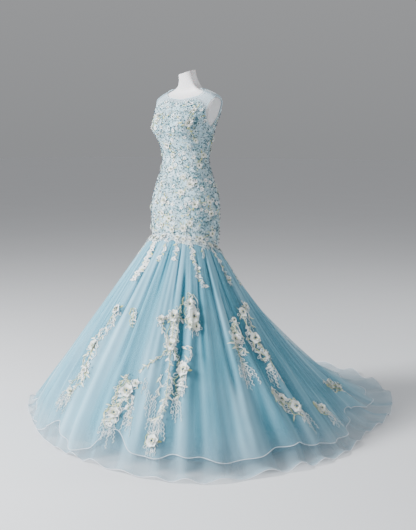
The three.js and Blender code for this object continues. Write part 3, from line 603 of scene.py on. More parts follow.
@dataclass
class Shape:
    """A small piece of lace: points right, up and out, and faces by which thread they are."""

    points: Points
    faces: Faces

    def moved(
        self, dx: float = 0, dy: float = 0, turn: float = 0, size: float = 1, lift: float = 0
    ) -> "Shape":
        """Returns a copy that is turned, sized and then moved.

        Args:
            dx: How far right.
            dy: How far up.
            turn: How far it is turned.
            size: Its size.
            lift: How far out.

        Returns:
            The copy.
        """
        c, s = math.cos(turn), math.sin(turn)
        x, y, h = self.points.T * size
        points = np.column_stack([c * x - s * y + dx, s * x + c * y + dy, h + lift])
        return Shape(points, self.faces)


def joined(shapes: list[Shape]) -> Shape:
    """Joins shapes into one.

    Args:
        shapes: The shapes.

    Returns:
        One shape.
    """
    points, faces, start = [], [], 0
    for shape in shapes:
        points.append(shape.points)
        faces += [(f + start, thread) for f, thread in shape.faces]
        start += len(shape.points)
    return Shape(np.vstack(points), faces)


def grid_faces(lines: int, columns: int, ring: bool = False) -> Points:
    """Returns the four-cornered faces of a grid, closed round its columns where it is a ring.

    Args:
        lines: Rows of points.
        columns: Points in a row.
        ring: Whether a row closes on itself.

    Returns:
        Rows of four corner numbers.
    """
    cells = columns if ring else columns - 1
    i, j = np.meshgrid(np.arange(lines - 1), np.arange(cells), indexing="ij")
    k = (j + 1) % columns
    corners = [i * columns + j, i * columns + k, (i + 1) * columns + k, (i + 1) * columns + j]
    return np.stack(corners, -1).reshape(-1, 4)


class Thread(Enum):
    """What a lace face is made of, as the place of its material on a lace piece."""

    IVORY = 0
    ICE = 1
    GREEN = 2
    DARK_BEAD = 3
    PEARL = 4
    TEAL = 5


class LaceShapes:
    """The ordinary flowers, leaves, cords and beads that the gown's lace is made of."""

    tiers: tuple[Spot, ...] = ((1.0, 0.3), (0.56, 0.36))  # each ring of petals' reach and cup, in radii
    bead_rings: tuple[Spot, ...] = ((0.92, 0.0), (1.0, 0.5), (0.62, 1.2))  # out and up, in radii
    bead_top: float = 1.5

    @staticmethod
    def petal(
        reach: float, width: float, cup: float, thread: Thread, along: int = 5, columns: int = 5
    ) -> Shape:
        """Makes one petal that points up from the origin.

        Args:
            reach: Its length.
            width: Its full width.
            cup: How far its tip rises.
            thread: What it is made of.
            along: Points along it.
            columns: Points across it.

        Returns:
            The petal.
        """
        u, v = np.meshgrid(np.linspace(0, 1, along), np.linspace(-1, 1, columns), indexing="ij")
        half = 0.5 * width * np.sin(math.pi * np.clip(u, 0.05, 0.975) ** 0.85) ** 0.62
        notch = 1 - 0.06 * bell(v, 0.3) * u**4 - 0.1 * v**2 * u**2
        height = cup * (0.15 + 0.85 * u**1.4) + 0.1 * width * v**2 * u - 0.06 * reach * u**6
        points = np.stack([half * v, reach * u * notch, height], -1).reshape(-1, 3)
        return Shape(points, [(grid_faces(along, columns), thread.value)])

    @classmethod
    def bead(cls, radius: float, thread: Thread = Thread.DARK_BEAD, sides: int = 5) -> Shape:
        """Makes a bead that is sewn flat on the cloth.

        Args:
            radius: Its radius.
            thread: What it is made of.
            sides: Points round it.

        Returns:
            The bead.
        """
        turns = np.arange(sides) * TURN / sides
        points = []
        for out, up in cls.bead_rings:
            ring = [out * radius * np.cos(turns), out * radius * np.sin(turns), 0 * turns + up * radius]
            points.append(np.column_stack(ring))
        points.append(np.array([[0, 0, cls.bead_top * radius]]))
        fan = np.array([[2 * sides + j, 2 * sides + (j + 1) % sides, 3 * sides] for j in range(sides)])
        faces = [(grid_faces(len(cls.bead_rings), sides, True), thread.value), (fan, thread.value)]
        return Shape(np.vstack(points), faces)

    @staticmethod
    def cord(path: Points, radius: float, thread: Thread, sides: int = 4, taper: float = 0.5) -> Shape:
        """Makes a corded thread that lies along a path.

        Args:
            path: Points right and up along it.
            radius: Its radius at its root.
            thread: What it is made of.
            sides: Points round it.
            taper: What share of its radius its end keeps.

        Returns:
            The cord.
        """
        path = np.asarray(path, float)
        along = np.gradient(path, axis=0)
        across = unit(np.column_stack([-along[:, 1], along[:, 0]]))
        thick = radius * np.linspace(1, taper, len(path))
        angles = (np.arange(sides) + 0.5) * TURN / sides
        x = path[:, None, 0] + across[:, None, 0] * (thick[:, None] * np.cos(angles))
        y = path[:, None, 1] + across[:, None, 1] * (thick[:, None] * np.cos(angles))
        h = thick[:, None] * (1 + np.sin(angles))
        faces = grid_faces(len(path), sides, True)
        ends = np.array([np.arange(sides)[::-1][:4], (len(path) - 1) * sides + np.arange(sides)[:4]])
        return Shape(np.stack([x, y, h], -1).reshape(-1, 3), [(faces, thread.value), (ends, thread.value)])

    @classmethod
    def flower(
        cls, thread: Thread = Thread.IVORY, eye: Thread = Thread.DARK_BEAD, tiers: int = 2, petals: int = 6
    ) -> Shape:
        """Makes a round flower of radius one.

        Args:
            thread: What its petals are made of.
            eye: What the beads at its middle are made of.
            tiers: How many rings of petals it has.
            petals: Petals in a ring.

        Returns:
            The flower.
        """
        parts = []
        for tier, (reach, cup) in enumerate(cls.tiers[:tiers]):
            for k in range(petals):
                turn = (k + 0.5 * tier) * TURN / petals + 0.11 * math.sin(5 * k + tier)
                size = 1 + 0.08 * math.sin(3.1 * k + 2 * tier)
                petal = cls.petal(reach * size, reach * 0.92, cup, thread, 6)
                parts.append(petal.moved(turn=turn, lift=0.05 + 0.12 * tier + 0.04 * (k % 2)))
        if tiers > 1:
            for k in range(petals):
                stroke = cls.petal(0.62 + 0.1 * math.sin(4 * k), 0.15, 0.3, Thread.GREEN, 3, 3)
                parts.append(stroke.moved(turn=(k + 0.27) * TURN / petals, lift=0.26))
        parts.append(cls.bead(0.21, eye, 6).moved(lift=0.24))
        for k in range(7):
            turn = k * TURN / 7
            bead = cls.bead(0.095, eye if k % 3 else Thread.GREEN)
            parts.append(bead.moved(0.32 * math.cos(turn), 0.32 * math.sin(turn), lift=0.3))
        return joined(parts)

    @classmethod
    def small_flower(cls, thread: Thread = Thread.IVORY) -> Shape:
        """Makes a flat five-petalled flower of radius one with a bead at its middle."""
        petal = cls.petal(1.0, 0.86, 0.16, thread, 4, 3)
        petals = [petal.moved(turn=k * TURN / 5, lift=0.04) for k in range(5)]
        return joined([*petals, cls.bead(0.24).moved(lift=0.1)])

    @staticmethod
    def leaf(length: float, width: float, thread: Thread, bend: float = 0.15, along: int = 7) -> Shape:
        """Makes an embroidered leaf with a sunken midrib, pointing up from the origin.

        Args:
            length: Its length.
            width: Its full width.
            thread: What it is made of.
            bend: How far it bends aside, as a share of its length.
            along: Points along it.

        Returns:
            The leaf.
        """
        u, v = np.meshgrid(np.linspace(0, 1, along), np.linspace(-1, 1, 5), indexing="ij")
        half = 0.5 * width * np.sin(math.pi * np.clip(u, 0.03, 0.985) ** 0.8) ** 0.85
        saw = 1 + 0.1 * np.cos(u * TURN * 3.0) * np.abs(v) ** 3
        height = 1.5 * np.abs(np.sin(math.pi * np.abs(v) ** 0.8)) + 0.35 + 0.02 * width * v**2
        x = half * v * saw + bend * length * u * (1 - u) * 2
        points = np.stack([x, length * u, height], -1).reshape(-1, 3)
        return Shape(points, [(grid_faces(along, 5), thread.value)])

    @classmethod
    def scroll(cls, size: float, thread: Thread, turns: float = 0.9) -> Shape:
        """Makes a cord that curls in on itself, with a pearl at its eye.

        Args:
            size: Its size.
            thread: What it is made of.
            turns: How many times it goes round.

        Returns:
            The scroll.
        """
        t = np.linspace(0, 1, 13)
        angle = turns * TURN * t
        radius = size * 0.5 * (1 - 0.78 * t)
        x = radius * np.sin(angle) + size * 0.15 * t
        y = size * 0.5 - radius * np.cos(angle) - size * 0.1 * t
        path = np.column_stack([x, y])
        return joined([cls.cord(path, 0.9, thread), cls.bead(1.1, Thread.PEARL).moved(*path[-1])])

    @classmethod
    def eyelet(cls, length: float, width: float, thread: Thread = Thread.IVORY) -> Shape:
        """Makes an open oval of cord with a bead at its foot."""
        t = np.linspace(0, TURN, 12)
        path = np.column_stack([0.5 * width * np.sin(t), 0.5 * length * (1 - np.cos(t))])
        return joined([cls.cord(path, 1.1, thread, taper=1.0), cls.bead(1.4).moved(0, 0.3 * length)])

    @classmethod
    def sprig(cls, length: float, thread: Thread, pairs: int = 3, bend: float = 0.25) -> Shape:
        """Makes a bent stem with pairs of small leaves.

        Args:
            length: Its length.
            thread: What it is made of.
            pairs: Pairs of leaves.
            bend: How far the stem bends aside, as a share of its length.

        Returns:
            The sprig.
        """
        t = np.linspace(0, 1, 8)
        path = np.column_stack([bend * length * t**2, length * t])
        parts = [cls.cord(path, 0.8, thread)]
        for k in range(pairs):
            at = (k + 0.6) / (pairs + 0.4)
            place = np.array([bend * length * at**2, length * at])
            lean = -math.atan2(2 * bend * at, 1)
            small = length * (0.4 - 0.06 * k)
            for side in (-1, 1):
                leaf = cls.leaf(small, small * 0.42, thread, 0.1 * side, 4)
                parts.append(leaf.moved(place[0], place[1], lean - side * 0.85))
        tip = cls.leaf(length * 0.35, length * 0.16, thread, 0.05, 4)
        parts.append(tip.moved(path[-1, 0], path[-1, 1], -math.atan2(2 * bend, 1)))
        return joined(parts)


# ---- meshes


def sorts_at(kind: Points, sorts: tuple[tuple[float, Shape], ...]) -> Iterator[tuple[Shape, Points]]:
    """Yields each sort of motif with the places that chance gives it.

    Args:
        kind: A chance from 0 to 1 for each place.
        sorts: Each sort with the chance that it ends at.

    Yields:
        The motif, and which places have it.
    """
    low = 0.0
    for high, shape in sorts:
        yield shape, (kind >= low) & (kind < high)
        low = high


def fan(leaf: Shape, turns: tuple[float, ...]) -> Shape:
    """Joins copies of a leaf that fan out from one foot."""
    return joined([leaf.moved(turn=turn) for turn in turns])


def make_object(
    name: str,
    points: Points,
    faces: Faces,
    materials: list[Material],
    uv: Points | None = None,
    painted_light: Points | None = None,
    low: Points | None = None,
) -> Piece:
    """Makes a smooth-shaded object in metres from points in millimetres.

    Args:
        name: The object's name.
        points: Its points.
        faces: Arrays of corner numbers, each with the number of its material.
        materials: Its materials.
        uv: Each point's place on the flat cloth, in metres.
        painted_light: Each point's painted light and shade, from 0 to 1, which its material reads.
        low: How near each point is to the hem, from 0 to 1.

    Returns:
        The object.
    """
    mesh = bpy.data.meshes.new(name)
    corner_lists = [corners for group, _ in faces for corners in group.tolist()]
    mesh.from_pydata((points * MM).tolist(), [], corner_lists)
    slots = np.concatenate([np.full(len(group), number) for group, number in faces])
    mesh.polygons.foreach_set("material_index", slots.astype(np.int32))
    mesh.polygons.foreach_set("use_smooth", np.ones(len(slots), bool))
    if uv is not None:
        corners = np.empty(len(mesh.loops), np.int32)
        mesh.loops.foreach_get("vertex_index", corners)
        layer = mesh.uv_layers.new(name="flat_cloth")
        layer.data.foreach_set("uv", uv[corners].astype(np.float32).ravel())
    for key, values in (("painted_light", painted_light), ("low", low)):
        if values is not None:
            attribute = mesh.attributes.new(key, "FLOAT", "POINT")
            attribute.data.foreach_set("value", values.astype(np.float32).ravel())
    for material in materials:
        mesh.materials.append(material)
    mesh.validate()
    mesh.update()
    piece = bpy.data.objects.new(name, mesh)
    bpy.context.scene.collection.objects.link(piece)
    return piece


def sheet_object(
    name: str,
    grid: Points,
    material: Material,
    painted_light: Points | None = None,
    back: Points | None = None,
    low: Points | None = None,
) -> Piece:
    """Makes a sheet from a grid of points, or a closed wall where it has a back.

    Args:
        name: The object's name.
        grid: Rows and columns of points.
        material: Its material.
        painted_light: The painted light and shade of each point of the grid.
        back: The grid of the wall's inner face.
        low: How near each point of the grid is to the hem.

    Returns:
        The object.
    """
    lines, columns = grid.shape[:2]
    across = np.linalg.norm(np.diff(grid, axis=1), axis=-1)
    down = np.linalg.norm(np.diff(grid, axis=0), axis=-1)
    u = np.concatenate([np.zeros((lines, 1)), np.cumsum(across, 1)], 1) * MM
    v = np.concatenate([np.zeros((1, columns)), np.cumsum(down, 0)], 0) * MM
    uv = np.stack([u - u[:, columns // 2, None], v], -1).reshape(-1, 2)
    points, front = grid.reshape(-1, 3), grid_faces(lines, columns)
    faces = [(front, 0)]
    shade = None if painted_light is None else painted_light.reshape(-1)
    if back is not None:
        count = len(points)
        points = np.vstack([points, back.reshape(-1, 3)])
        uv = np.vstack([uv, uv])
        shade = None if shade is None else np.concatenate([shade, shade])
        faces.append((front[:, ::-1] + count, 0))
        faces += [(edge, 0) for edge in wall_edges(lines, columns)]
    piece = make_object(name, points, faces, [material], uv, shade, low)
    turn_outwards(piece, back is not None)
    return piece


def wall_edges(lines: int, columns: int) -> list[Points]:
    """Returns the faces that close a wall between its outer and inner grids.

    Args:
        lines: Rows of points of one grid.
        columns: Points in a row.

    Returns:
        The faces along each edge.
    """
    count, last = lines * columns, (lines - 1) * columns
    along = np.arange(columns - 1)
    down = np.arange(lines - 1) * columns
    sides = (
        (along + 1, along),
        (along + last, along + 1 + last),
        (down, down + columns),
        (down + 2 * columns - 1, down + columns - 1),
    )
    return [np.stack([a, b, b + count, a + count], -1) for a, b in sides]


def looks_out(face: bmesh.types.BMFace, up: float = 0.3) -> float:
    """Returns how far a face looks away from the pole, and a little up, times its area."""
    middle = face.calc_center_median()
    return face.normal.dot(Vector((middle.x, middle.y, up))) * face.calc_area()


def turn_outwards(piece: Piece, closed: bool) -> None:
    """Turns a piece's faces outwards: by its volume where it is closed, or away from the pole.

    Args:
        piece: The piece.
        closed: Whether it has a volume.
    """
    work = bmesh.new()
    work.from_mesh(piece.data)
    if closed:
        bmesh.ops.recalc_face_normals(work, faces=work.faces)
    elif sum(looks_out(face) for face in work.faces) < 0:
        bmesh.ops.reverse_faces(work, faces=work.faces)
    work.to_mesh(piece.data)
    work.free()


def tube_object(
    name: str, path: Points, radius: float, material: Material, sides: int = 6, ring: bool = False
) -> Piece:
    """Makes a round cord along a path.

    Args:
        name: The object's name.
        path: Points along it.
        radius: Its radius.
        material: Its material.
        sides: Points round it.
        ring: Whether it closes on itself.

    Returns:
        The object.
    """
    if ring:
        along = unit(np.roll(path, -1, 0) - np.roll(path, 1, 0))
    else:
        along = unit(np.gradient(path, axis=0))
    side = unit(np.cross(along, np.array([0.05, 0.02, 1.0])))
    up = np.cross(side, along)
    turns = (np.arange(sides) * TURN / sides)[:, None]
    grid = path[:, None] + radius * (side[:, None] * np.cos(turns) + up[:, None] * np.sin(turns))
    faces = [(grid_faces(len(path), sides, True), 0)]
    last = (len(path) - 1) * sides
    j = np.arange(sides)
    if ring:
        k = (j + 1) % sides
        faces.append((np.stack([last + j, last + k, k, j], -1), 0))
    else:
        faces.append((np.array([j[::-1], last + j]), 0))
    piece = make_object(name, grid.reshape(-1, 3), faces, [material])
    turn_outwards(piece, True)
    return piece


class LacePile:
    """Motifs laid on a cloth and joined into one mesh."""

    def __init__(self, cloth: Cloth) -> None:
        """Starts an empty pile on a cloth.

        Args:
            cloth: The cloth.
        """
        self.cloth = cloth
        self._points: list[Points] = []
        self._faces: Faces = []
        self._count = 0

    def lay(
        self,
        shape: Shape,
        a: Points | float,
        b: Points | float,
        turn: Points | float = 0.0,
        size: Points | float = 1.0,
        lift: Points | float = 0.6,
    ) -> None:
        """Lays copies of a shape at places of the cloth.

        Args:
            shape: The shape.
            a: First running value of each place.
            b: Second running value of each place.
            turn: How far each copy is turned.
            size: Each copy's size.
            lift: How far each copy stands off the cloth.
        """
        given = (np.atleast_1d(np.asarray(x, float)) for x in (a, b, turn, size, lift))
        a, b, turn, size, lift = np.broadcast_arrays(*given)
        if not len(a):
            return
        per_a, per_b = cloth_scale(self.cloth, a, b)
        x, y, h = shape.points.T
        c, s = np.cos(turn)[:, None], np.sin(turn)[:, None]
        across = size[:, None] * (c * x - s * y)
        along = size[:, None] * (s * x + c * y)
        place_a = a[:, None] + across / per_a[:, None]
        place_b = b[:, None] + along / per_b[:, None]
        points = self.cloth.at(place_a, place_b, lift[:, None] + size[:, None] * h)
        self._points.append(points.reshape(-1, 3))
        starts = self._count + np.arange(len(a)) * len(x)
        for faces, thread in shape.faces:
            self._faces.append(((faces[None] + starts[:, None, None]).reshape(-1, faces.shape[1]), thread))
        self._count += len(a) * len(x)

    def make(self, name: str, materials: list[Material]) -> Piece:
        """Makes the pile's object."""
        return make_object(name, np.vstack(self._points), self._faces, materials)


# ---- effects shared by the finishes


class Nodes:
    """Adds nodes to a tree and links them."""

    def __init__(self, tree: Tree) -> None:
        """Starts with an empty tree."""
        self.tree = tree
        tree.nodes.clear()

    def add(self, kind: str, values: dict[str | int, object] | None = None, **settings: object) -> Node:
        """Adds a node.

        Args:
            kind: The node's type.
            values: Plain values, or sockets to link, by input name or number.
            **settings: The node's own settings.

        Returns:
            The node.
        """
        node = self.tree.nodes.new(kind)
        for key, value in settings.items():
            setattr(node, key, value)
        self.fill(node, values or {})
        return node

    def fill(self, node: Node, values: dict[str | int, object]) -> None:
        """Sets a node's inputs to plain values, or links them to sockets.

        Args:
            node: The node.
            values: Plain values or sockets by input name or number.
        """
        for key, value in values.items():
            socket = node.inputs[key]
            if isinstance(value, Socket):
                self.tree.links.new(value, socket)
            elif isinstance(value, tuple) and socket.type == "RGBA":
                socket.default_value = (*value, 1.0)
            else:
                socket.default_value = value

    def math(self, kind: str, *values: object, clamp: bool = False) -> Socket:
        """Adds a math node and returns its output."""
        return self.add("ShaderNodeMath", dict(enumerate(values)), operation=kind, use_clamp=clamp).outputs[0]

    def times(self, first: object, second: object) -> Socket:
        """Multiplies two values."""
        return self.math("MULTIPLY", first, second)

    def plus(self, first: object, second: object, clamp: bool = False) -> Socket:
        """Adds two values."""
        return self.math("ADD", first, second, clamp=clamp)

    def centred(self, value: object) -> Socket:
        """Takes a half from a value."""
        return self.math("SUBTRACT", value, 0.5)

    def mix(self, share: object, first: object, second: object) -> Socket:
        """Adds a colour mix and returns its output."""
        return self.add("ShaderNodeMix", {0: share, 6: first, 7: second}, data_type="RGBA").outputs[2]

    def spread(
        self, value: object, low: float, high: float, to_low: float = 0.0, to_high: float = 1.0
    ) -> Socket:
        """Maps a range of values to another and returns the output."""
        names = {"Value": value, "From Min": low, "From Max": high, "To Min": to_low, "To Max": to_high}
        return self.add("ShaderNodeMapRange", names).outputs["Result"]

    def between(self, share: object, first: float, last: float) -> Socket:
        """Maps a share from 0 to 1 to a range of values."""
        return self.spread(share, 0.0, 1.0, first, last)

    def place(self) -> Socket:
        """Adds the object's own coordinates."""
        return self.add("ShaderNodeTexCoord").outputs["Object"]

    def stored(self, name: str) -> Socket:
        """Adds a value that is stored at the points of a mesh."""
        return self.add("ShaderNodeAttribute", attribute_name=name).outputs["Fac"]

    def noise(self, place: Socket, scale: object, detail: float, **more: float) -> Socket:
        """Adds a noise and returns its value."""
        values = {"Vector": place, "Scale": scale, "Detail": detail, **more}
        return self.add("ShaderNodeTexNoise", values).outputs["Fac"]

    def voronoi(self, place: Socket, scale: float, feature: str) -> Socket:
        """Adds a pattern of cells and returns its distance."""
        values = {"Vector": place, "Scale": scale}
        return self.add("ShaderNodeTexVoronoi", values, feature=feature).outputs["Distance"]


class Effects:
    """The node groups that several finishes share, each built once."""

    def __init__(self) -> None:
        """Builds every group."""
        self.weave = self._weave()
        self.drift = self._drift()
        self.threads = self._threads()
        self.beading = self._beading()
        self.dust = self._dust()
        self.wear = self._wear()

    @staticmethod
    def _group(
        name: str, inputs: dict[str, float | Colour], outputs: tuple[str, ...]
    ) -> tuple[Tree, Nodes, dict[str, Socket], Node]:
        """Starts a group with named sockets.

        Args:
            name: The group's name.
            inputs: Each input's name and plain value.
            outputs: The outputs' names, of which Colour is a colour and the others are values.

        Returns:
            The tree, its nodes, its inputs' sockets by name, and its output node.
        """
        tree = bpy.data.node_groups.new(name, "ShaderNodeTree")
        for key, value in inputs.items():
            kind = "NodeSocketColor" if isinstance(value, tuple) else "NodeSocketFloat"
            socket = tree.interface.new_socket(key, in_out="INPUT", socket_type=kind)
            socket.default_value = (*value, 1.0) if isinstance(value, tuple) else value
        for key in outputs:
            kind = "NodeSocketColor" if key == "Colour" else "NodeSocketFloat"
            tree.interface.new_socket(key, in_out="OUTPUT", socket_type=kind)
        nodes = Nodes(tree)
        source = tree.nodes.new("NodeGroupInput")
        end = tree.nodes.new("NodeGroupOutput")
        return tree, nodes, {key: source.outputs[key] for key in inputs}, end

    def _weave(self) -> Tree:
        """Builds crossed threads, from the flat cloth's own measures: a height and a mask of the threads."""
        asked = {"Threads": 900.0, "Unevenness": 0.3}
        tree, n, ask, end = self._group("woven_threads", asked, ("Height", "Mask"))
        flat = n.add("ShaderNodeUVMap", uv_map="flat_cloth").outputs["UV"]
        sway = n.noise(flat, 30.0, 2.0)
        parts = n.add("ShaderNodeSeparateXYZ", {0: flat})
        shift = n.times(n.centred(sway), ask["Unevenness"])
        crossed = []
        for axis in ("X", "Y"):
            turns = n.plus(n.times(parts.outputs[axis], ask["Threads"]), n.times(shift, 8.0))
            crossed.append(n.math("ABSOLUTE", n.math("SINE", turns)))
        height = n.math("MAXIMUM", *crossed)
        n.fill(end, {"Height": height, "Mask": n.spread(height, 0.55, 0.95)})
        return tree

    def _drift(self) -> Tree:
        """Builds a slow, uneven change between two colours."""
        colours = {"First": (0.5, 0.5, 0.5), "Second": (0.6, 0.6, 0.6)}
        asked = {**colours, "Scale": 5.0, "Contrast": 1.5, "Stretch": 1.0}
        tree, n, ask, end = self._group("colour_drift", asked, ("Colour", "Share"))
        parts = n.add("ShaderNodeSeparateXYZ", {0: n.place()}).outputs
        low = n.times(parts["Z"], ask["Stretch"])
        place = n.add("ShaderNodeCombineXYZ", {0: parts["X"], 1: parts["Y"], 2: low}).outputs[0]
        noise = n.noise(place, ask["Scale"], 3.0, Roughness=0.55)
        share = n.plus(n.times(n.centred(noise), ask["Contrast"]), 0.5, clamp=True)
        n.fill(end, {"Colour": n.mix(share, ask["First"], ask["Second"]), "Share": share})
        return tree

    def _threads(self) -> Tree:
        """Builds close satin stitches that wander: a height and a mask of the stitches."""
        asked = {"Stitches": 900.0, "Wander": 3.0}
        tree, n, ask, end = self._group("satin_stitches", asked, ("Height", "Mask"))
        place = n.place()
        fine = {"Detail": 2.0, "Detail Scale": 0.4}
        values = {"Vector": place, "Scale": ask["Stitches"], "Distortion": ask["Wander"], **fine}
        wave = n.add("ShaderNodeTexWave", values, bands_direction="DIAGONAL").outputs["Fac"]
        fluff = n.noise(place, 700.0, 2.0)
        height = n.plus(n.times(wave, 0.7), n.times(fluff, 0.3))
        n.fill(end, {"Height": height, "Mask": n.spread(wave, 0.1, 0.6)})
        return tree

    def _beading(self) -> Tree:
        """Builds scattered small beads, as a mask, a height and a value that differs from bead to bead."""
        asked = {"Scale": 90.0, "Size": 0.28, "Share": 0.6}
        tree, n, ask, end = self._group("small_beads", asked, ("Mask", "Height", "Which"))
        values = {"Vector": n.place(), "Scale": ask["Scale"], "Randomness": 0.85}
        cells = n.add("ShaderNodeTexVoronoi", values).outputs
        which = n.add("ShaderNodeSeparateColor", {0: cells["Color"]}).outputs
        kept = n.math("LESS_THAN", which["Green"], ask["Share"])
        inside = n.math("LESS_THAN", cells["Distance"], ask["Size"])
        dome = n.math("SUBTRACT", 1.0, n.math("DIVIDE", cells["Distance"], ask["Size"]), clamp=True)
        mask = n.times(kept, inside)
        height = n.times(kept, n.math("POWER", dome, 0.5))
        n.fill(end, {"Mask": mask, "Height": height, "Which": which["Red"]})
        return tree

    def _dust(self) -> Tree:
        """Builds the dust that settles on faces that look up."""
        tree, n, ask, end = self._group("settled_dust", {"Amount": 0.3}, ("Mask",))
        normal = n.add("ShaderNodeNewGeometry").outputs["Normal"]
        up = n.add("ShaderNodeSeparateXYZ", {0: normal}).outputs["Z"]
        noise = n.noise(n.place(), 40.0, 4.0)
        mask = n.times(n.spread(up, 0.2, 1.0), n.spread(noise, 0.35, 0.7))
        n.fill(end, {"Mask": n.times(mask, ask["Amount"])})
        return tree

    def _wear(self) -> Tree:
        """Builds the rubbing along edges, broken up by noise."""
        tree, n, ask, end = self._group("edge_wear", {"Amount": 0.5, "Scale": 60.0}, ("Mask",))
        edge = n.spread(n.add("ShaderNodeNewGeometry").outputs["Pointiness"], 0.52, 0.6)
        noise = n.noise(n.place(), ask["Scale"], 5.0)
        worn = n.times(edge, n.spread(noise, 0.4, 0.6))
        n.fill(end, {"Mask": n.times(worn, ask["Amount"])})
        return tree


# ---- finishes


def place_group(n: Nodes, tree: Tree, **values: object) -> bpy.types.NodeOutputs:
    """Places an effect in a material with its own values and returns its outputs."""
    node = n.add("ShaderNodeGroup", node_tree=tree)
    n.fill(node, values)
    return node.outputs


def start_material(name: str) -> tuple[Material, Nodes, Node]:
    """Starts a material with its shader.

    Args:
        name: The material's name.

    Returns:
        The material, its nodes and its shader.
    """
    material = bpy.data.materials.new(name)
    material.use_nodes = True
    n = Nodes(material.node_tree)
    shader = n.add("ShaderNodeBsdfPrincipled")
    n.add("ShaderNodeOutputMaterial", {"Surface": shader.outputs[0]})
    return material, n, shader


def bump(n: Nodes, shader: Node, height: Socket, distance: float, strength: float = 1.0) -> None:
    """Gives a shader a relief."""
    node = n.add("ShaderNodeBump", {"Height": height, "Distance": distance, "Strength": strength})
    n.fill(shader, {"Normal": node.outputs[0]})


@dataclass(frozen=True)
class MouldedShell:
    """The form's satin white moulded shell."""

    name: str = "moulded_shell"
    colour: Colour = (0.82, 0.80, 0.80)
    shade: Colour = (0.74, 0.72, 0.73)
    rubbed: Colour = (0.62, 0.60, 0.58)
    dusty: Colour = (0.66, 0.64, 0.62)
    roughness: float = 0.38

    def make(self, effects: Effects) -> Material:
        """Builds the material.

        Args:
            effects: The shared node groups.

        Returns:
            The material.
        """
        material, n, shader = start_material(self.name)
        drift = place_group(n, effects.drift, First=self.colour, Second=self.shade, Scale=7.0, Contrast=1.2)
        wear = place_group(n, effects.wear, Amount=0.5, Scale=50.0)["Mask"]
        dust = place_group(n, effects.dust, Amount=0.18)["Mask"]
        base = n.mix(dust, n.mix(wear, drift["Colour"], self.rubbed), self.dusty)
        rough = n.plus(self.roughness, n.times(drift["Share"], 0.12))
        n.fill(shader, {"Base Color": base, "Roughness": n.plus(rough, n.times(dust, 0.6), clamp=True)})
        bump(n, shader, n.noise(n.place(), 160.0, 2.0), 0.0004, 0.35)
        n.fill(shader, {"Specular IOR Level": 0.45, "Subsurface Weight": 0.05})
        return material


@dataclass(frozen=True)
class SatinSteel:
    """The stand's brushed steel."""

    name: str = "satin_steel"
    colour: Colour = (0.56, 0.57, 0.59)
    shade: Colour = (0.46, 0.47, 0.49)
    dusty: Colour = (0.5, 0.48, 0.45)

    def make(self, effects: Effects) -> Material:
        """Builds the material.

        Args:
            effects: The shared node groups.

        Returns:
            The material.
        """
        material, n, shader = start_material(self.name)
        colours = {"First": self.colour, "Second": self.shade}
        drift = place_group(n, effects.drift, **colours, Scale=30.0, Contrast=1.5, Stretch=12.0)
        dust = place_group(n, effects.dust, Amount=0.5)["Mask"]
        n.fill(shader, {"Base Color": n.mix(dust, drift["Colour"], self.dusty)})
        n.fill(shader, {"Metallic": n.math("SUBTRACT", 1.0, dust, clamp=True)})
        n.fill(shader, {"Roughness": n.between(drift["Share"], 0.26, 0.42)})
        bump(n, shader, drift["Share"], 0.0002, 0.4)
        return material


@dataclass(frozen=True)
class LaceGround:
    """The bodice's close net of ice-blue lace over teal, with small beads."""

    name: str = "lace_ground"
    light: Colour = (0.34, 0.55, 0.63)
    lightest: Colour = (0.54, 0.74, 0.83)
    deep: Colour = (0.03, 0.11, 0.13)
    gap: Colour = (0.08, 0.21, 0.25)
    dark_bead: Colour = (0.03, 0.10, 0.22)
    gold_bead: Colour = (0.72, 0.70, 0.42)

    def make(self, effects: Effects) -> Material:
        """Builds the material.

        Args:
            effects: The shared node groups.

        Returns:
            The material.
        """
        material, n, shader = start_material(self.name)
        place = n.place()
        bend = n.add("ShaderNodeTexNoise", {"Vector": place, "Scale": 24.0, "Detail": 1.0}).outputs["Color"]
        bent = n.add("ShaderNodeVectorMath", {0: bend, "Scale": 0.03}, operation="SCALE")
        where = n.add("ShaderNodeVectorMath", {0: place, 1: bent.outputs[0]}, operation="ADD").outputs[0]
        cells = n.voronoi(where, 85.0, "DISTANCE_TO_EDGE")
        large = n.voronoi(where, 34.0, "SMOOTH_F1")
        cords = n.math("SUBTRACT", 1.0, n.spread(cells, 0.03, 0.16))
        patches = n.spread(large, 0.3, 0.5)
        lace = n.math("MAXIMUM", cords, n.math("SUBTRACT", 1.0, patches))
        drift = place_group(n, effects.drift, First=self.gap, Second=self.deep, Scale=9.0, Contrast=2.0)
        pale = place_group(n, effects.drift, First=self.light, Second=self.lightest, Scale=14.0, Contrast=2.0)
        beads = place_group(n, effects.beading, Scale=110.0, Size=0.3, Share=0.45)
        base = n.mix(lace, drift["Colour"], pale["Colour"])
        glint = n.mix(beads["Which"], self.dark_bead, self.gold_bead)
        n.fill(shader, {"Base Color": n.mix(beads["Mask"], base, glint)})
        n.fill(shader, {"Roughness": n.between(beads["Mask"], 0.7, 0.18), "Sheen Weight": 0.25})
        stitches = place_group(n, effects.threads, Stitches=380.0, Wander=4.0)["Height"]
        relief = n.plus(n.times(lace, 0.6), n.times(stitches, 0.2))
        bump(n, shader, n.plus(relief, beads["Height"]), 0.0012, 0.8)
        return material


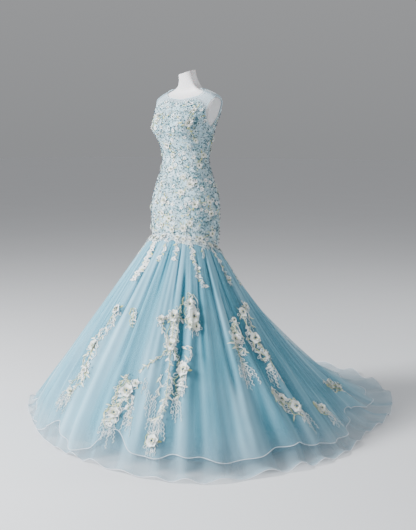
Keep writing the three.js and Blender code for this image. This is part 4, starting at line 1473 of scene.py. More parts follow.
@dataclass(frozen=True)
class Embroidery:
    """Thick satin-stitched thread."""

    name: str
    first: Colour
    second: Colour
    tinge: Colour
    roughness: float = 0.55
    scale: float = 40.0

    def make(self, effects: Effects) -> Material:
        """Builds the material.

        Args:
            effects: The shared node groups.

        Returns:
            The material.
        """
        material, n, shader = start_material(self.name)
        drift = place_group(
            n, effects.drift, First=self.first, Second=self.second, Scale=self.scale, Contrast=2.4
        )
        plain = {"First": (0.0, 0.0, 0.0), "Second": (1.0, 1.0, 1.0)}
        stain = place_group(n, effects.drift, **plain, Scale=self.scale * 0.6, Contrast=3.0)["Share"]
        share = n.spread(stain, 0.62, 1.0, 0.0, 0.55)
        stitches = place_group(n, effects.threads, Stitches=330.0, Wander=2.5)
        tinted = n.mix(share, drift["Colour"], self.tinge)
        shadow = n.mix(0.3, tinted, self.tinge)
        n.fill(shader, {"Base Color": n.mix(stitches["Mask"], shadow, tinted)})
        n.fill(shader, {"Roughness": n.between(stitches["Mask"], self.roughness + 0.15, self.roughness)})
        n.fill(shader, {"Sheen Weight": 0.3, "Sheen Roughness": 0.4})
        bump(n, shader, stitches["Height"], 0.0005, 0.7)
        return material


@dataclass(frozen=True)
class Bead:
    """A cut or pearly bead."""

    name: str
    first: Colour
    second: Colour
    roughness: float
    coat: float

    def make(self, effects: Effects) -> Material:
        """Builds the material.

        Args:
            effects: The shared node groups.

        Returns:
            The material.
        """
        material, n, shader = start_material(self.name)
        drift = place_group(n, effects.drift, First=self.first, Second=self.second, Scale=220.0, Contrast=3.0)
        rough = n.between(drift["Share"], self.roughness, self.roughness + 0.12)
        n.fill(shader, {"Base Color": drift["Colour"], "Roughness": rough})
        n.fill(shader, {"Coat Weight": self.coat, "Coat Roughness": 0.08})
        bump(n, shader, drift["Share"], 0.0002, 0.3)
        return material


@dataclass(frozen=True)
class Tulle:
    """Sheer net: it is denser where it is seen edge on and on the painted crests of its gathers, and its
    colour is painted lighter on the crests and darker in the hollows.
    """

    name: str
    light: Colour
    deep: Colour
    cover: float
    edge_cover: float
    threads: float = 1400.0
    beads: float = 0.0
    sheen: float = 0.35
    hem_cover: float = 1.0
    hem_tint: Colour = (0.34, 0.50, 0.60)
    blue_bead: Colour = (0.12, 0.22, 0.32)
    white_bead: Colour = (0.85, 0.86, 0.8)

    def make(self, effects: Effects) -> Material:
        """Builds the material.

        Args:
            effects: The shared node groups.

        Returns:
            The material.
        """
        material, n, shader = start_material(self.name)
        painted_light = n.stored("painted_light")
        colours = {"First": self.light, "Second": self.deep}
        drift = place_group(n, effects.drift, **colours, Scale=3.5, Contrast=1.6, Stretch=0.35)
        weave = place_group(n, effects.weave, Threads=self.threads, Unevenness=0.5)
        facing = n.add("ShaderNodeLayerWeight", {"Blend": 0.32}).outputs["Facing"]
        cover = n.between(facing, self.cover, self.edge_cover)
        # cover rises with the painted light, so the painted crests are denser
        painted_light_cover = n.times(n.centred(painted_light), 0.34)
        net = n.times(n.centred(weave["Mask"]), 0.06)
        alpha = n.plus(n.plus(cover, painted_light_cover), net, clamp=True)
        # painted light and shade: towards the deep colour in the gathers' hollows, lighter on their crests
        base = n.mix(n.times(painted_light, 0.95), self.deep, drift["Colour"])
        if self.hem_cover < 1:
            low = n.stored("low")
            alpha = n.times(alpha, n.between(low, 1.0, self.hem_cover))
            base = n.mix(n.times(low, 0.75), base, self.hem_tint)
        rough = n.between(weave["Mask"], 0.75, 0.6)
        if self.beads > 0:
            beads = place_group(n, effects.beading, Scale=120.0, Size=0.2, Share=self.beads)
            glint = n.mix(beads["Which"], self.blue_bead, self.white_bead)
            base = n.mix(beads["Mask"], base, glint)
            alpha = n.math("MAXIMUM", alpha, beads["Mask"])
            rough = n.math("SUBTRACT", rough, n.times(beads["Mask"], 0.45), clamp=True)
        n.fill(shader, {"Base Color": base, "Alpha": alpha, "Roughness": rough})
        n.fill(shader, {"Sheen Weight": self.sheen, "Sheen Roughness": 0.35})
        bump(n, shader, weave["Height"], 0.0002, 0.15)
        return material


@dataclass(frozen=True)
class Satin:
    """Opaque satin: the lining, the bindings, the placket and the rolled hems."""

    name: str
    light: Colour
    deep: Colour
    roughness: float = 0.42
    sheen: float = 0.4
    toned: bool = False

    def make(self, effects: Effects) -> Material:
        """Builds the material.

        Args:
            effects: The shared node groups.

        Returns:
            The material.
        """
        material, n, shader = start_material(self.name)
        colours = {"First": self.light, "Second": self.deep}
        drift = place_group(n, effects.drift, **colours, Scale=6.0, Contrast=1.8, Stretch=0.4)
        weave = place_group(n, effects.weave, Threads=2200.0, Unevenness=0.2)
        base = drift["Colour"]
        if self.toned:
            # painted shade in the gathers' hollows and painted light on their crests
            base = n.mix(n.stored("painted_light"), self.deep, base)
            n.fill(shader, {"Alpha": n.between(n.stored("low"), 1.0, 0.25)})
        n.fill(shader, {"Base Color": n.mix(n.times(weave["Mask"], 0.05), base, self.deep)})
        rough = n.between(drift["Share"], self.roughness, self.roughness + 0.12)
        n.fill(shader, {"Roughness": rough, "Sheen Weight": self.sheen})
        bump(n, shader, weave["Height"], 0.0002, 0.3)
        return material


@dataclass(frozen=True)
class StudioFloor:
    """The plain pale floor."""

    name: str = "studio_floor"
    colour: Colour = (0.78, 0.79, 0.81)
    shade: Colour = (0.75, 0.76, 0.78)

    def make(self, effects: Effects) -> Material:
        """Builds the material.

        Args:
            effects: The shared node groups.

        Returns:
            The material.
        """
        material, n, shader = start_material(self.name)
        drift = place_group(n, effects.drift, First=self.colour, Second=self.shade, Scale=1.2, Contrast=1.0)
        n.fill(shader, {"Base Color": drift["Colour"], "Roughness": n.between(drift["Share"], 0.75, 0.85)})
        return material


class Finishes:
    """Every material of the gown and its form."""

    def __init__(self, effects: Effects) -> None:
        """Makes the materials.

        Args:
            effects: The shared node groups.
        """
        # the tulles' and the lining's deep colours also give the painted shade in the gathers' hollows
        over = Tulle("over_tulle", (0.54, 0.82, 0.97), (0.10, 0.41, 0.54), 0.37, 0.8, hem_cover=0.78)
        under = Tulle("under_tulle", (0.48, 0.74, 0.89), (0.08, 0.33, 0.46), 0.5, 0.88, hem_cover=0.7)
        yoke = Tulle("yoke_tulle", (0.46, 0.62, 0.72), (0.34, 0.50, 0.60), 0.42, 0.85, 1600.0, 0.3)
        lining = Satin("lining_satin", (0.38, 0.73, 0.87), (0.04, 0.27, 0.38), 0.45, 0.5, True)
        ivory = Embroidery("ivory_thread", (0.97, 0.98, 0.98), (0.92, 0.95, 0.95), (0.72, 0.78, 0.64))
        ice = Embroidery("ice_thread", (0.54, 0.72, 0.79), (0.74, 0.87, 0.92), (0.26, 0.48, 0.54))
        green = Embroidery("green_gold_thread", (0.62, 0.64, 0.24), (0.76, 0.77, 0.42), (0.40, 0.45, 0.14))
        dark = Bead("dark_bead", (0.02, 0.05, 0.09), (0.05, 0.12, 0.17), 0.12, 0.8)
        pearl = Bead("pearl_bead", (0.90, 0.90, 0.86), (0.78, 0.86, 0.92), 0.2, 0.6)
        teal = Embroidery("teal_thread", (0.20, 0.37, 0.41), (0.11, 0.25, 0.29), (0.28, 0.38, 0.32))
        self.shell = MouldedShell().make(effects)
        self.steel = SatinSteel().make(effects)
        self.ground = LaceGround().make(effects)
        layers = {Layer.OVER: over, Layer.UNDER: under, Layer.LINING: lining}
        self.layers = {layer: finish.make(effects) for layer, finish in layers.items()}
        self.yoke = yoke.make(effects)
        self.binding = Satin("binding_satin", (0.58, 0.76, 0.84), (0.46, 0.66, 0.76)).make(effects)
        self.hem = Satin("rolled_hem", (0.86, 0.89, 0.94), (0.70, 0.76, 0.84)).make(effects)
        # in the order of Thread
        self.lace = [finish.make(effects) for finish in (ivory, ice, green, dark, pearl, teal)]
        self.floor = StudioFloor().make(effects)


# ---- sub-assemblies


def settle(piece: Piece, slot: str, *nodes: str) -> Piece:
    """Ties a piece to the frame: what it rides on and the nodes that it stands for, which it hides.

    Args:
        piece: The piece.
        slot: Not used.
        *nodes: The frame's nodes that it stands for.

    Returns:
        The piece.
    """
    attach(piece, ROOT)
    if nodes:
        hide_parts(*nodes)
    triangles = sum(len(face.vertices) - 2 for face in piece.data.polygons)
    LOG.info("%s: %d triangles, in place of %s", piece.name, triangles, ", ".join(nodes) or "nothing")
    return piece


@dataclass
class DressForm:
    """The limbless form: a smooth torso with a slanting neck cut and a flat plate in each armhole."""

    body: Body
    finishes: Finishes
    ease: float = 4.0
    columns: int = 160
    ring_step: float = 8.0
    neck_height: float = 1550
    neck_y: float = 8
    neck_rise: float = 0.2
    arm_x: float = 158
    arm_z: float = 1422
    arm_lean: float = 0.245
    plate_thick: float = 3.0
    plate_gap: float = 0.3
    plate_rings: Points = rows(
        # share of the outline, rise
        (1.0, 0), (0.99, 0.25), (0.96, 0.4), (0.9, 0.55), (0.8, 0.8),
        (0.66, 1.1), (0.5, 1.35), (0.34, 1.5), (0.18, 1.6), (0.06, 1.65)
    )
    ridge_high: float = 1.6
    ridge_wide: float = 7.0
    ridge_ahead: float = 6.0
    lip: float = 1.6
    lip_proud: float = 0.5
    sharp: float = 40

    def arm_plane(self, side: int, distance: float) -> tuple[Vector, Vector]:
        """Returns a point and the outward normal of an armhole's face, moved out by a distance."""
        normal = Vector((side, 0, -self.arm_lean)).normalized()
        return Vector((side * self.arm_x, 0, self.arm_z)) + normal * distance, normal

    def whole(self) -> BMesh:
        """Builds the form before its cuts, closed at both ends, in millimetres."""
        low, high = self.body.sections[0, 0], self.body.sections[-1, 0]
        heights = np.linspace(low, high, int((high - low) / self.ring_step))
        angles = np.arange(self.columns) * TURN / self.columns
        grid = self.body.off(angles[None, :], heights[:, None], -self.ease)
        work = bmesh.new()
        points = [work.verts.new(p) for p in grid.reshape(-1, 3)]
        for corners in grid_faces(len(heights), self.columns, True).tolist():
            work.faces.new([points[c] for c in corners])
        work.faces.new(points[: self.columns][::-1])
        work.faces.new(points[-self.columns:])
        return work

    @staticmethod
    def slice(work: BMesh, point: Vector, normal: Vector) -> list[BMEdge]:
        """Cuts away what lies beyond a plane and returns the cut's edges."""
        geometry = [*work.verts, *work.edges, *work.faces]
        made = bmesh.ops.bisect_plane(work, geom=geometry, plane_co=point, plane_no=normal, clear_outer=True)
        return [item for item in made["geom_cut"] if isinstance(item, BMEdge)]

    def cut(self, work: BMesh, point: Vector, normal: Vector) -> None:
        """Cuts away what lies beyond a plane and closes the cut with a rounded lip.

        Args:
            work: The mesh.
            point: A point of the plane.
            normal: The plane's normal, on the side that is cut away.
        """
        face = bmesh.ops.contextual_create(work, geom=self.slice(work, point, normal))["faces"]
        bmesh.ops.inset_individual(work, faces=face, thickness=self.lip, depth=0.0)
        for vert in {v for f in face for v in f.verts}:
            vert.co += normal * self.lip_proud

    def finish(self, work: BMesh, name: str, nodes: tuple[str, ...]) -> Piece:
        """Turns a mesh in millimetres into a piece of the form.

        Args:
            work: The mesh.
            name: The piece's name.
            nodes: The frame's nodes that it stands for.

        Returns:
            The piece.
        """
        bmesh.ops.triangulate(work, faces=[f for f in work.faces if len(f.verts) > 4])
        bmesh.ops.recalc_face_normals(work, faces=work.faces)
        bmesh.ops.scale(work, vec=(MM, MM, MM), verts=work.verts)
        mesh = bpy.data.meshes.new(name)
        for face in work.faces:
            face.smooth = True
        work.to_mesh(mesh)
        work.free()
        mesh.materials.append(self.finishes.shell)
        mesh.set_sharp_from_angle(angle=math.radians(self.sharp))
        piece = bpy.data.objects.new(name, mesh)
        bpy.context.scene.collection.objects.link(piece)
        return settle(piece, "form", *nodes)

    def torso(self) -> Piece:
        """Makes the torso with its neck and armholes cut."""
        work = self.whole()
        normal = Vector((-self.neck_rise, -self.neck_rise, 1)).normalized()
        self.cut(work, Vector((0, self.neck_y, self.neck_height)), normal)
        for side in (1, -1):
            self.cut(work, *self.arm_plane(side, -self.plate_thick - self.plate_gap))
        return self.finish(work, "form_shell", ("form_torso",))

    def arm_plate(self, side: int) -> Piece:
        """Makes the plate that closes one armhole, crowned and with a soft ridge down its middle.

        Args:
            side: 1 at the wearer's left, or -1.

        Returns:
            The plate.
        """
        work = self.whole()
        point, normal = self.arm_plane(side, -self.plate_thick)
        outline = self.ordered(self.slice(work, point, normal))
        work.free()
        out = np.array(normal)
        middle = outline.mean(0)
        rings = [outline]
        for share, rise in self.plate_rings:
            ring = middle + (outline - middle) * share
            ridge = self.ridge_high * bell(ring[:, 1] - middle[1] + self.ridge_ahead, self.ridge_wide)
            lift = self.plate_thick + rise + ridge * (1 - share**6)
            rings.append(ring + out * lift[:, None])
        count, columns = len(rings), len(outline)
        crown = self.plate_thick + self.plate_rings[-1, 1] + 1.0
        points = np.vstack([*rings, middle + out * crown, middle])
        j = np.arange(columns)
        k = (j + 1) % columns
        last = (count - 1) * columns
        faces = [
            (grid_faces(count, columns, True), 0),
            (np.stack([last + j, last + k, np.full(columns, count * columns)], -1), 0),
            (np.stack([k, j, np.full(columns, count * columns + 1)], -1), 0),
        ]
        name = "left" if side > 0 else "right"
        piece = make_object(f"arm_plate_{name}", points, faces, [self.finishes.shell])
        turn_outwards(piece, True)
        return settle(piece, "form", f"form_arm_plate_{name}")

    @staticmethod
    def ordered(edges: list[BMEdge]) -> Points:
        """Walks round a cut's edges and returns its points in order.

        Args:
            edges: The edges.

        Returns:
            The points.
        """
        ahead: dict[bmesh.types.BMVert, list[bmesh.types.BMVert]] = {}
        for edge in edges:
            a, b = edge.verts
            ahead.setdefault(a, []).append(b)
            ahead.setdefault(b, []).append(a)
        start = here = next(iter(ahead))
        before, walked = None, []
        while here is not None and (here is not start or not walked):
            walked.append(np.array(here.co))
            onward = (v for v in ahead[here] if v is not before and (v is not start or len(walked) > 2))
            before, here = here, next(onward, None)
        return np.array(walked)

    def stand(self) -> None:
        """Gives the pole and the base plate their steel."""
        for name in ("form_pole", "form_base"):
            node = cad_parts[name]
            node.data.materials.clear()
            node.data.materials.append(self.finishes.steel)
            LOG.info("%s: steel", name)

    def build(self) -> None:
        """Makes every piece of the form."""
        self.torso()
        for side in (1, -1):
            self.arm_plate(side)
        self.stand()


class Panel(Enum):
    """A panel of the bodice, by how its pieces' names end."""

    FRONT = "front"
    LEFT = "back_left"
    RIGHT = "back_right"


@dataclass
class Bodice:
    """The lace bodice, the sheer yoke above it, the placket and the bindings."""

    body: Body
    cut: SkirtCut
    finishes: Finishes
    clearance: float = 1.5
    lace_wall: float = 2.0
    yoke_wall: float = 1.0
    placket_wall: float = 1.6
    underarm: float = 1312
    shoulder_tip: float = 1442
    seam_gap: float = 0.3
    placket_half: float = 4
    placket_closed: float = 931
    placket_bottom: float = 988
    placket_top: float = 1464
    front_edge: Points = rows(
        # height, half the panel's opening angle in degrees
        (1312, 90), (1334, 79), (1363, 67), (1391, 61), (1416, 61), (1431, 70), (1442, 90)
    )
    back_edge: Points = rows(
        (1312, 90), (1334, 81), (1363, 72), (1391, 67), (1416, 66), (1431, 73), (1442, 90)
    )
    front_lace_top: Points = rows((0, 1416), (0.35, 1427), (0.6, 1421), (0.8, 1404), (1, 1381))
    front_neckline: Points = rows((0, 1428), (0.25, 1438), (0.5, 1455), (0.8, 1469), (1, 1476))
    back_lace_top: Points = rows((0, 1363), (0.5, 1378), (1, 1384))
    back_neckline: Points = rows((0, 1468), (0.5, 1471), (1, 1476))
    scallop: float = 2.0
    scallop_turn: float = 38
    lace_points: tuple[int, int, int] = (92, 97, 55)
    yoke_points: tuple[int, int, int] = (28, 81, 45)
    yoke_under: float = 3.5
    placket_points: tuple[int, int] = (70, 5)
    binding_off: float = 1.2
    binding_radius: float = 1.3
    binding_points: int = 60
    flats: tuple[tuple[Panel, Row3, Row3], ...] = (
        # width and length in metres and area in square metres, of the lace and of the yoke above it
        (Panel.FRONT, (0.485, 0.645, 0.245), (0.33, 0.11, 0.0133)),
        (Panel.LEFT, (0.211, 0.63, 0.11), (0.21, 0.16, 0.0227)),
        (Panel.RIGHT, (0.211, 0.63, 0.11), (0.21, 0.16, 0.0227)),
    )

    def edge_angle(self, table: Points, z: Points) -> Points:
        """Returns half a panel's opening angle at heights, less half the seam's gap."""
        angle = np.where((z >= self.underarm) & (z <= self.shoulder_tip), smooth(table, z), 90.0)
        gap = self.seam_gap / 2 / smooth(self.body.sections, z)
        return np.radians(np.minimum(angle, 90)) - gap

    def placket_angle(self, z: Points) -> Points:
        """Returns half the gap between the back panels."""
        open_share = ease(z, self.placket_closed, self.placket_bottom - 1)
        half = self.seam_gap / 2 + (self.placket_half + self.seam_gap / 2) * open_share
        return np.arcsin((half / smooth(self.body.sections, z)) ** (self.body.squareness / 2))

    def angles(self, panel: Panel, share: Points, z: Points) -> Points:
        """Returns the angles of shares of a panel at heights.

        Args:
            panel: The panel.
            share: From -1 to 1 across the front, or from 0 at the placket to 1.
            z: Heights.

        Returns:
            The angles.
        """
        if panel is Panel.FRONT:
            return share * self.edge_angle(self.front_edge, z)
        side = 1 if panel is Panel.LEFT else -1
        near = self.placket_angle(z)
        return math.pi - side * (near + (self.edge_angle(self.back_edge, z) - near) * share)

    def lace_top(self, panel: Panel, share: Points) -> Points:
        """Returns the height of the lace's upper edge."""
        return smooth(self.front_lace_top if panel is Panel.FRONT else self.back_lace_top, np.abs(share))

    def neckline(self, panel: Panel, share: Points) -> Points:
        """Returns the height of the neckline."""
        return smooth(self.front_neckline if panel is Panel.FRONT else self.back_neckline, np.abs(share))

    def lace_bottom(self, panel: Panel, share: Points) -> Points:
        """Returns the height of the seam with the skirt."""
        angle = share * math.pi / 2 if panel is Panel.FRONT else math.pi - share * math.pi / 2
        return self.cut.seam_height(angle) + self.seam_gap / 2

    @staticmethod
    def across(panel: Panel, front: int, back: int) -> Points:
        """Returns shares across a panel, with a count of points for the front and one for a back."""
        return np.linspace(-1, 1, front) if panel is Panel.FRONT else np.linspace(0, 1, back)

    def grid(
        self, panel: Panel, bottom: Points, top: Points, lines: int, share: Points, off: float
    ) -> Points:
        """Returns a panel's grid of points between two edges.

        Args:
            panel: The panel.
            bottom: Heights of its lower edge by share.
            top: Heights of its upper edge by share.
            lines: Rows of points.
            share: Shares across the panel.
            off: How far off the body.

        Returns:
            Rows and columns of points.
        """
        t = np.linspace(0, 1, lines)[:, None]
        z = bottom + (top - bottom) * t
        return self.body.off(self.angles(panel, share[None, :] + 0 * z, z), z, off)

    def lace_panel(self, panel: Panel, wide: float, long: float, area: float) -> None:
        """Makes one lace panel of the bodice.

        Args:
            panel: The panel.
            wide: Not used.
            long: Not used.
            area: Not used.
        """
        lines, *counts = self.lace_points
        share = self.across(panel, *counts)
        turn = self.scallop_turn if panel is Panel.FRONT else self.scallop_turn / 2
        top = self.lace_top(panel, share) - self.scallop * np.abs(np.sin(share * turn))
        bottom = self.lace_bottom(panel, share)
        inner = self.grid(panel, bottom, top, lines, share, self.clearance)
        outer = self.grid(panel, bottom, top, lines, share, self.clearance + self.lace_wall)
        piece = sheet_object(f"lace_{panel.value}", outer, self.finishes.ground, back=inner)
        settle(piece, "lace", f"bodice_{panel.value}")

    def yoke_panel(self, panel: Panel, wide: float, long: float, area: float) -> None:
        """Makes one sheer panel of the yoke.

        Args:
            panel: The panel.
            wide: Not used.
            long: Not used.
            area: Not used.
        """
        lines, *counts = self.yoke_points
        share = self.across(panel, *counts)
        bottom, top = self.lace_top(panel, share) - self.yoke_under, self.neckline(panel, share)
        grid = self.grid(panel, bottom, top, lines, share, self.clearance + 0.5 * self.yoke_wall)
        even = np.full(grid.shape[:2], 0.5)
        piece = sheet_object(f"sheer_{panel.value}", grid, self.finishes.yoke, painted_light=even)
        settle(piece, "yoke", f"yoke_{panel.value}")

    def placket(self) -> None:
        """Makes the strip that hides the back fastening."""
        lines, columns = self.placket_points
        z = np.linspace(self.placket_bottom, self.placket_top, lines)
        x = np.linspace(self.placket_half, -self.placket_half, columns)
        faces = []
        for off in (self.clearance + self.placket_wall, self.clearance):
            face = np.repeat(self.body.off(np.full(lines, math.pi), z, off)[:, None], columns, 1)
            face[..., 0] = x
            faces.append(face)
        piece = sheet_object("placket_strip", faces[0], self.finishes.binding, back=faces[1])
        settle(piece, "placket", "back_placket")

    def neck_binding(self, panel: Panel, name: str, count: int) -> None:
        """Makes the narrow binding of one panel's neckline."""
        share = self.across(panel, count, count)
        z = self.neckline(panel, share)
        self.bind(f"neck_binding_{name}", self.angles(panel, share, z), z)

    def arm_binding(self, name: str, side: int) -> None:
        """Makes the narrow binding of one armhole: up its front edge and down its back edge.

        Args:
            name: The side's name.
            side: 1 at the wearer's left, or -1.
        """
        up = np.linspace(self.underarm, self.shoulder_tip, self.binding_points)
        z = np.concatenate([up, up[::-1][1:-1]])
        front, back = self.edge_angle(self.front_edge, z), self.edge_angle(self.back_edge, z)
        rising = np.arange(len(z)) < self.binding_points
        angle = np.where(rising, side * front, math.pi * side - side * back)
        self.bind(f"arm_binding_{name}", angle, z, True)

    def bind(self, name: str, angle: Points, z: Points, ring: bool = False) -> None:
        """Lays a binding along angles and heights of the body."""
        line = self.body.off(angle, z, self.clearance + self.binding_off)
        settle(tube_object(name, line, self.binding_radius, self.finishes.binding, ring=ring), "yoke")

    def build(self) -> None:
        """Makes every piece of the bodice."""
        for panel, lace, _ in self.flats:
            self.lace_panel(panel, *lace)
        for panel, _, yoke in self.flats:
            self.yoke_panel(panel, *yoke)
        self.placket()
        self.neck_binding(Panel.FRONT, "front", 2 * self.binding_points)
        for panel, name, side in ((Panel.LEFT, "left", 1), (Panel.RIGHT, "right", -1)):
            self.neck_binding(panel, name, self.binding_points)
            self.arm_binding(name, side)


@dataclass(frozen=True)
class LayerPlan:
    """A layer's points and flat panels.

    The rows of points are counted at the seam, down the skirt and on the floor. A panel's numbers are
    metres along the hem, metres from seam to hem and square metres.
    """

    columns: int
    lines: tuple[int, int, int]
    flats: tuple[Row3, ...]


PLANS = {
    Layer.LINING: LayerPlan(
        92, (8, 28, 12), ((1.08, 0.96, 0.65), (1.12, 0.97, 0.62), (1.54, 1.1, 0.88), (1.17, 1.0, 0.65))
    ),
    Layer.UNDER: LayerPlan(
        176, (12, 44, 24), ((1.19, 1.07, 0.76), (1.32, 1.14, 0.77), (2.01, 1.39, 1.32), (1.41, 1.2, 0.83))
    ),
    Layer.OVER: LayerPlan(
        196, (12, 46, 18), ((1.33, 0.99, 0.68), (1.31, 0.98, 0.65), (1.87, 1.16, 0.94), (1.37, 0.99, 0.67))
    ),
}


@dataclass
class Skirt:
    """The skirt's three layers, each of four gathered panels, with rolled hems."""

    cut: SkirtCut
    finishes: Finishes
    lining_end: float = 0.87
    seam_zone: float = 0.1
    floor_zone: float = 0.8
    quarters: tuple[tuple[str, int], ...] = (("front", -9), ("left", 9), ("back", 27), ("right", 45))
    quarter: int = 18
    rolled: float = 1.1
    hem_points: int = 1440
    painted_light_patches: tuple[Row5, ...] = (
        # painted patches of light and shade: degrees round, width, share it starts at, share it ends at, how
        # much lighter
        (55, 10, 0.2, 0.95, 0.26),
        (-2, 12, 0.1, 0.7, 0.12),
        (98, 17, 0.2, 1.05, -0.3),
        (78, 6, 0.1, 0.6, -0.16),
        (-42, 16, 0.7, 1.1, -0.3),
        (30, 10, 0.72, 1.1, -0.2),
        (150, 14, 0.2, 0.9, 0.16),
        (-150, 16, 0.1, 0.8, -0.16),
        (-100, 14, 0.2, 0.9, 0.14),
    )
    painted_patch_edge: float = 0.15
    thin_lining: tuple[Row5, ...] = (
        # degrees round, width, share it starts at, share it is full at, how see-through
        (144, 18, 0.2, 0.5, 0.7),
        (-165, 24, 0.3, 0.6, 0.5),
    )

    def end(self, layer: Layer, angle: Points) -> Points:
        """Returns the share of the way down at which a layer ends."""
        if layer is Layer.OVER:
            return self.cut.over_hem_share(angle)
        return np.full(len(angle), self.lining_end if layer is Layer.LINING else 1.0)

    def shares(self, end: Points, lines: tuple[int, int, int]) -> Points:
        """Returns rows of shares of the way down: close at the seam and on the floor."""
        stops = (0, self.seam_zone, self.floor_zone, 1)
        zones = [np.linspace(a, b, count)[:-1] for a, b, count in zip(stops, stops[1:], lines)]
        return np.concatenate([*zones, [1.0]])[:, None] * end

    def painted_light(self, angle: Points, share: Points) -> Points:
        """Returns the light and shade painted on the skirt, from 0 in a hollow to 1 on a crest.

        Args:
            angle: Angles round the gown.
            share: Shares of the way down.

        Returns:
            Values from 0 to 1.
        """
        phase = self.cut.phase(angle) + self.cut.wander(angle, share)
        # painted highlights on the gathers' crests and painted shade in their hollows
        wave = 0.5 + (0.06 + 0.13 * ease(share, 0.12, 0.5)) * np.cos(phase)
        # painted stripes of light and shade that stand in for finer folds
        slow = 0.2 * np.sin(11 * angle + 2.1 + share) + 0.17 * np.sin(17 * angle + 0.4 + 3 * share)
        narrow = 0.12 * np.sin(59 * angle + 3 * np.sin(4 * angle))
        narrow = narrow + 0.1 * np.sin(101 * angle + 2 * share + 2 * np.sin(7 * angle))
        # painted shade in the creases
        crease = self.cut.crease(angle, share) / 10
        # broad painted patches of light and shade round the gown
        painted_patches = 0.0
        for middle, wide, start, end, amount in self.painted_light_patches:
            part = window(share, start, start + self.painted_patch_edge, end - self.painted_patch_edge, end)
            painted_patches = painted_patches + amount * part * bell(degrees_off(np.degrees(angle), middle), wide)
        return np.clip(wave + slow + narrow + crease + painted_patches, 0, 1)

    def sheer(self, layer: Layer, angle: Points, share: Points) -> Points:
        """Returns how see-through a layer is: towards its hem and, on the lining, towards the train.

        Args:
            layer: The layer.
            angle: Angles round the gown.
            share: Shares of the way down.

        Returns:
            Values from 0 to 1.
        """
        if layer is not Layer.LINING:
            return ease(share, 0.76, 0.96)
        seen = ease(share, 0.66, self.lining_end)
        for middle, wide, start, full, most in self.thin_lining:
            thin = ease(share, start, full) * bell(degrees_off(np.degrees(angle), middle), wide)
            seen = np.maximum(seen, most * thin)
        return seen

    def panel(self, layer: Layer, name: str, start: int) -> Piece:
        """Makes one panel of a layer.

        Args:
            layer: The layer.
            name: The quarter's name.
            start: The number of the hollow at its first seam.

        Returns:
            The panel.
        """
        plan = PLANS[layer]
        first, last = (self.cut.column_angle(self._hollow(k)) for k in (start, start + self.quarter))
        if last < first:
            last += TURN
        along = np.linspace(first, last, plan.columns)
        share = self.shares(self.end(layer, along), plan.lines)
        angle = along[None, :] + 0 * share
        grid = self.cut.skin(layer, angle, share)
        label = layer.name.lower()
        slot = label if layer is Layer.LINING else f"{label}_tulle"
        painted_light, low = self.painted_light(angle, share), self.sheer(layer, angle, share)
        piece = sheet_object(f"{slot}_{name}", grid, self.finishes.layers[layer], painted_light=painted_light, low=low)
        return settle(piece, slot, f"skirt_{label}_{name}")

    def _hollow(self, k: int) -> int:
        """Brings a hollow's number into one turn."""
        folds = 2 * self.cut.folds
        return (k + folds // 2) % folds - folds // 2

    def hem_cord(self, layer: Layer) -> Piece:
        """Makes the rolled hem of a layer.

        Args:
            layer: The layer.

        Returns:
            The cord.
        """
        angle = np.linspace(-math.pi, math.pi, self.hem_points + 1)[:-1]
        path = self.cut.skin(layer, angle, self.end(layer, angle), 0.3)
        path[:, 2] = np.maximum(path[:, 2], self.rolled + 0.1)
        label = layer.name.lower()
        piece = tube_object(f"{label}_rolled_hem", path, self.rolled, self.finishes.hem, 5, ring=True)
        return settle(piece, f"{label}_tulle")

    def build(self) -> None:
        """Makes every piece of the skirt."""
        for layer, plan in PLANS.items():
            for (name, start), (wide, long, area) in zip(self.quarters, plan.flats):
                piece = self.panel(layer, name, start)
        for layer in (Layer.OVER, Layer.UNDER):
            self.hem_cord(layer)


# ---- lace on the bodice


@dataclass(frozen=True)
class Bloom:
    """A group of large lace flowers on the bodice: its name, its root and its flowers."""

    name: str
    angle: float
    z: float
    flowers: tuple[Row3, ...]


BLOOMS = (
    Bloom("lace_chest_left", 43, 1328, ((-8, 56, 13), (0, 0, 19), (34, -78, 13))),
    Bloom("lace_chest_right", -25, 1345, ((2, 18, 13), (10, -10, 12), (-24, -42, 13))),
    Bloom("lace_rib_front", -12, 1238, ((0, 0, 17), (24, -46, 12), (18, -108, 14))),
    Bloom("lace_rib_left", 72, 1190, ((8, 4, 15), (-12, -42, 14))),
    Bloom("lace_rib_right", -62, 1196, ((0, 0, 14), (-6, -56, 14))),
    Bloom("lace_waist_left", 25, 1099, ((0, 0, 13), (30, -32, 19), (-8, -68, 15))),
    Bloom("lace_waist_right", -7, 999, ((-42, 74, 14), (-56, -8, 13), (0, 0, 19))),
    Bloom("lace_hip_left", 48, 986, ((-4, 0, 18), (60, 6, 14), (66, -42, 16))),
    Bloom("lace_hip_front", -9, 943, ((0, 0, 13), (34, -20, 14), (-6, -50, 13))),
    Bloom("lace_hip_right", -58, 962, ((0, 0, 17), (-22, -52, 15))),
    Bloom("lace_edge_front", 26, 884, ((30, 22, 15), (0, 0, 18), (-52, -8, 13))),
    Bloom("lace_edge_left", 62, 858, ((-14, -18, 14), (40, 0, 15))),
    Bloom("lace_edge_right", -52, 874, ((0, 0, 17), (-40, 10, 14))),
    Bloom("lace_back_rib_left", 108, 1262, ((0, 0, 15), (18, -52, 14))),
    Bloom("lace_back_rib_right", -118, 1240, ((0, 0, 15), (-20, -54, 14))),
    Bloom("lace_back_waist_left", 110, 1060, ((0, 0, 14), (26, -40, 17))),
    Bloom("lace_back_waist_right", -124, 1068, ((0, 0, 15), (16, -44, 17))),
    Bloom("lace_back_hip_left", 132, 906, ((0, 0, 18), (40, -24, 15))),
    Bloom("lace_back_hip_right", -134, 900, ((0, 0, 18), (-38, -26, 15))),
)


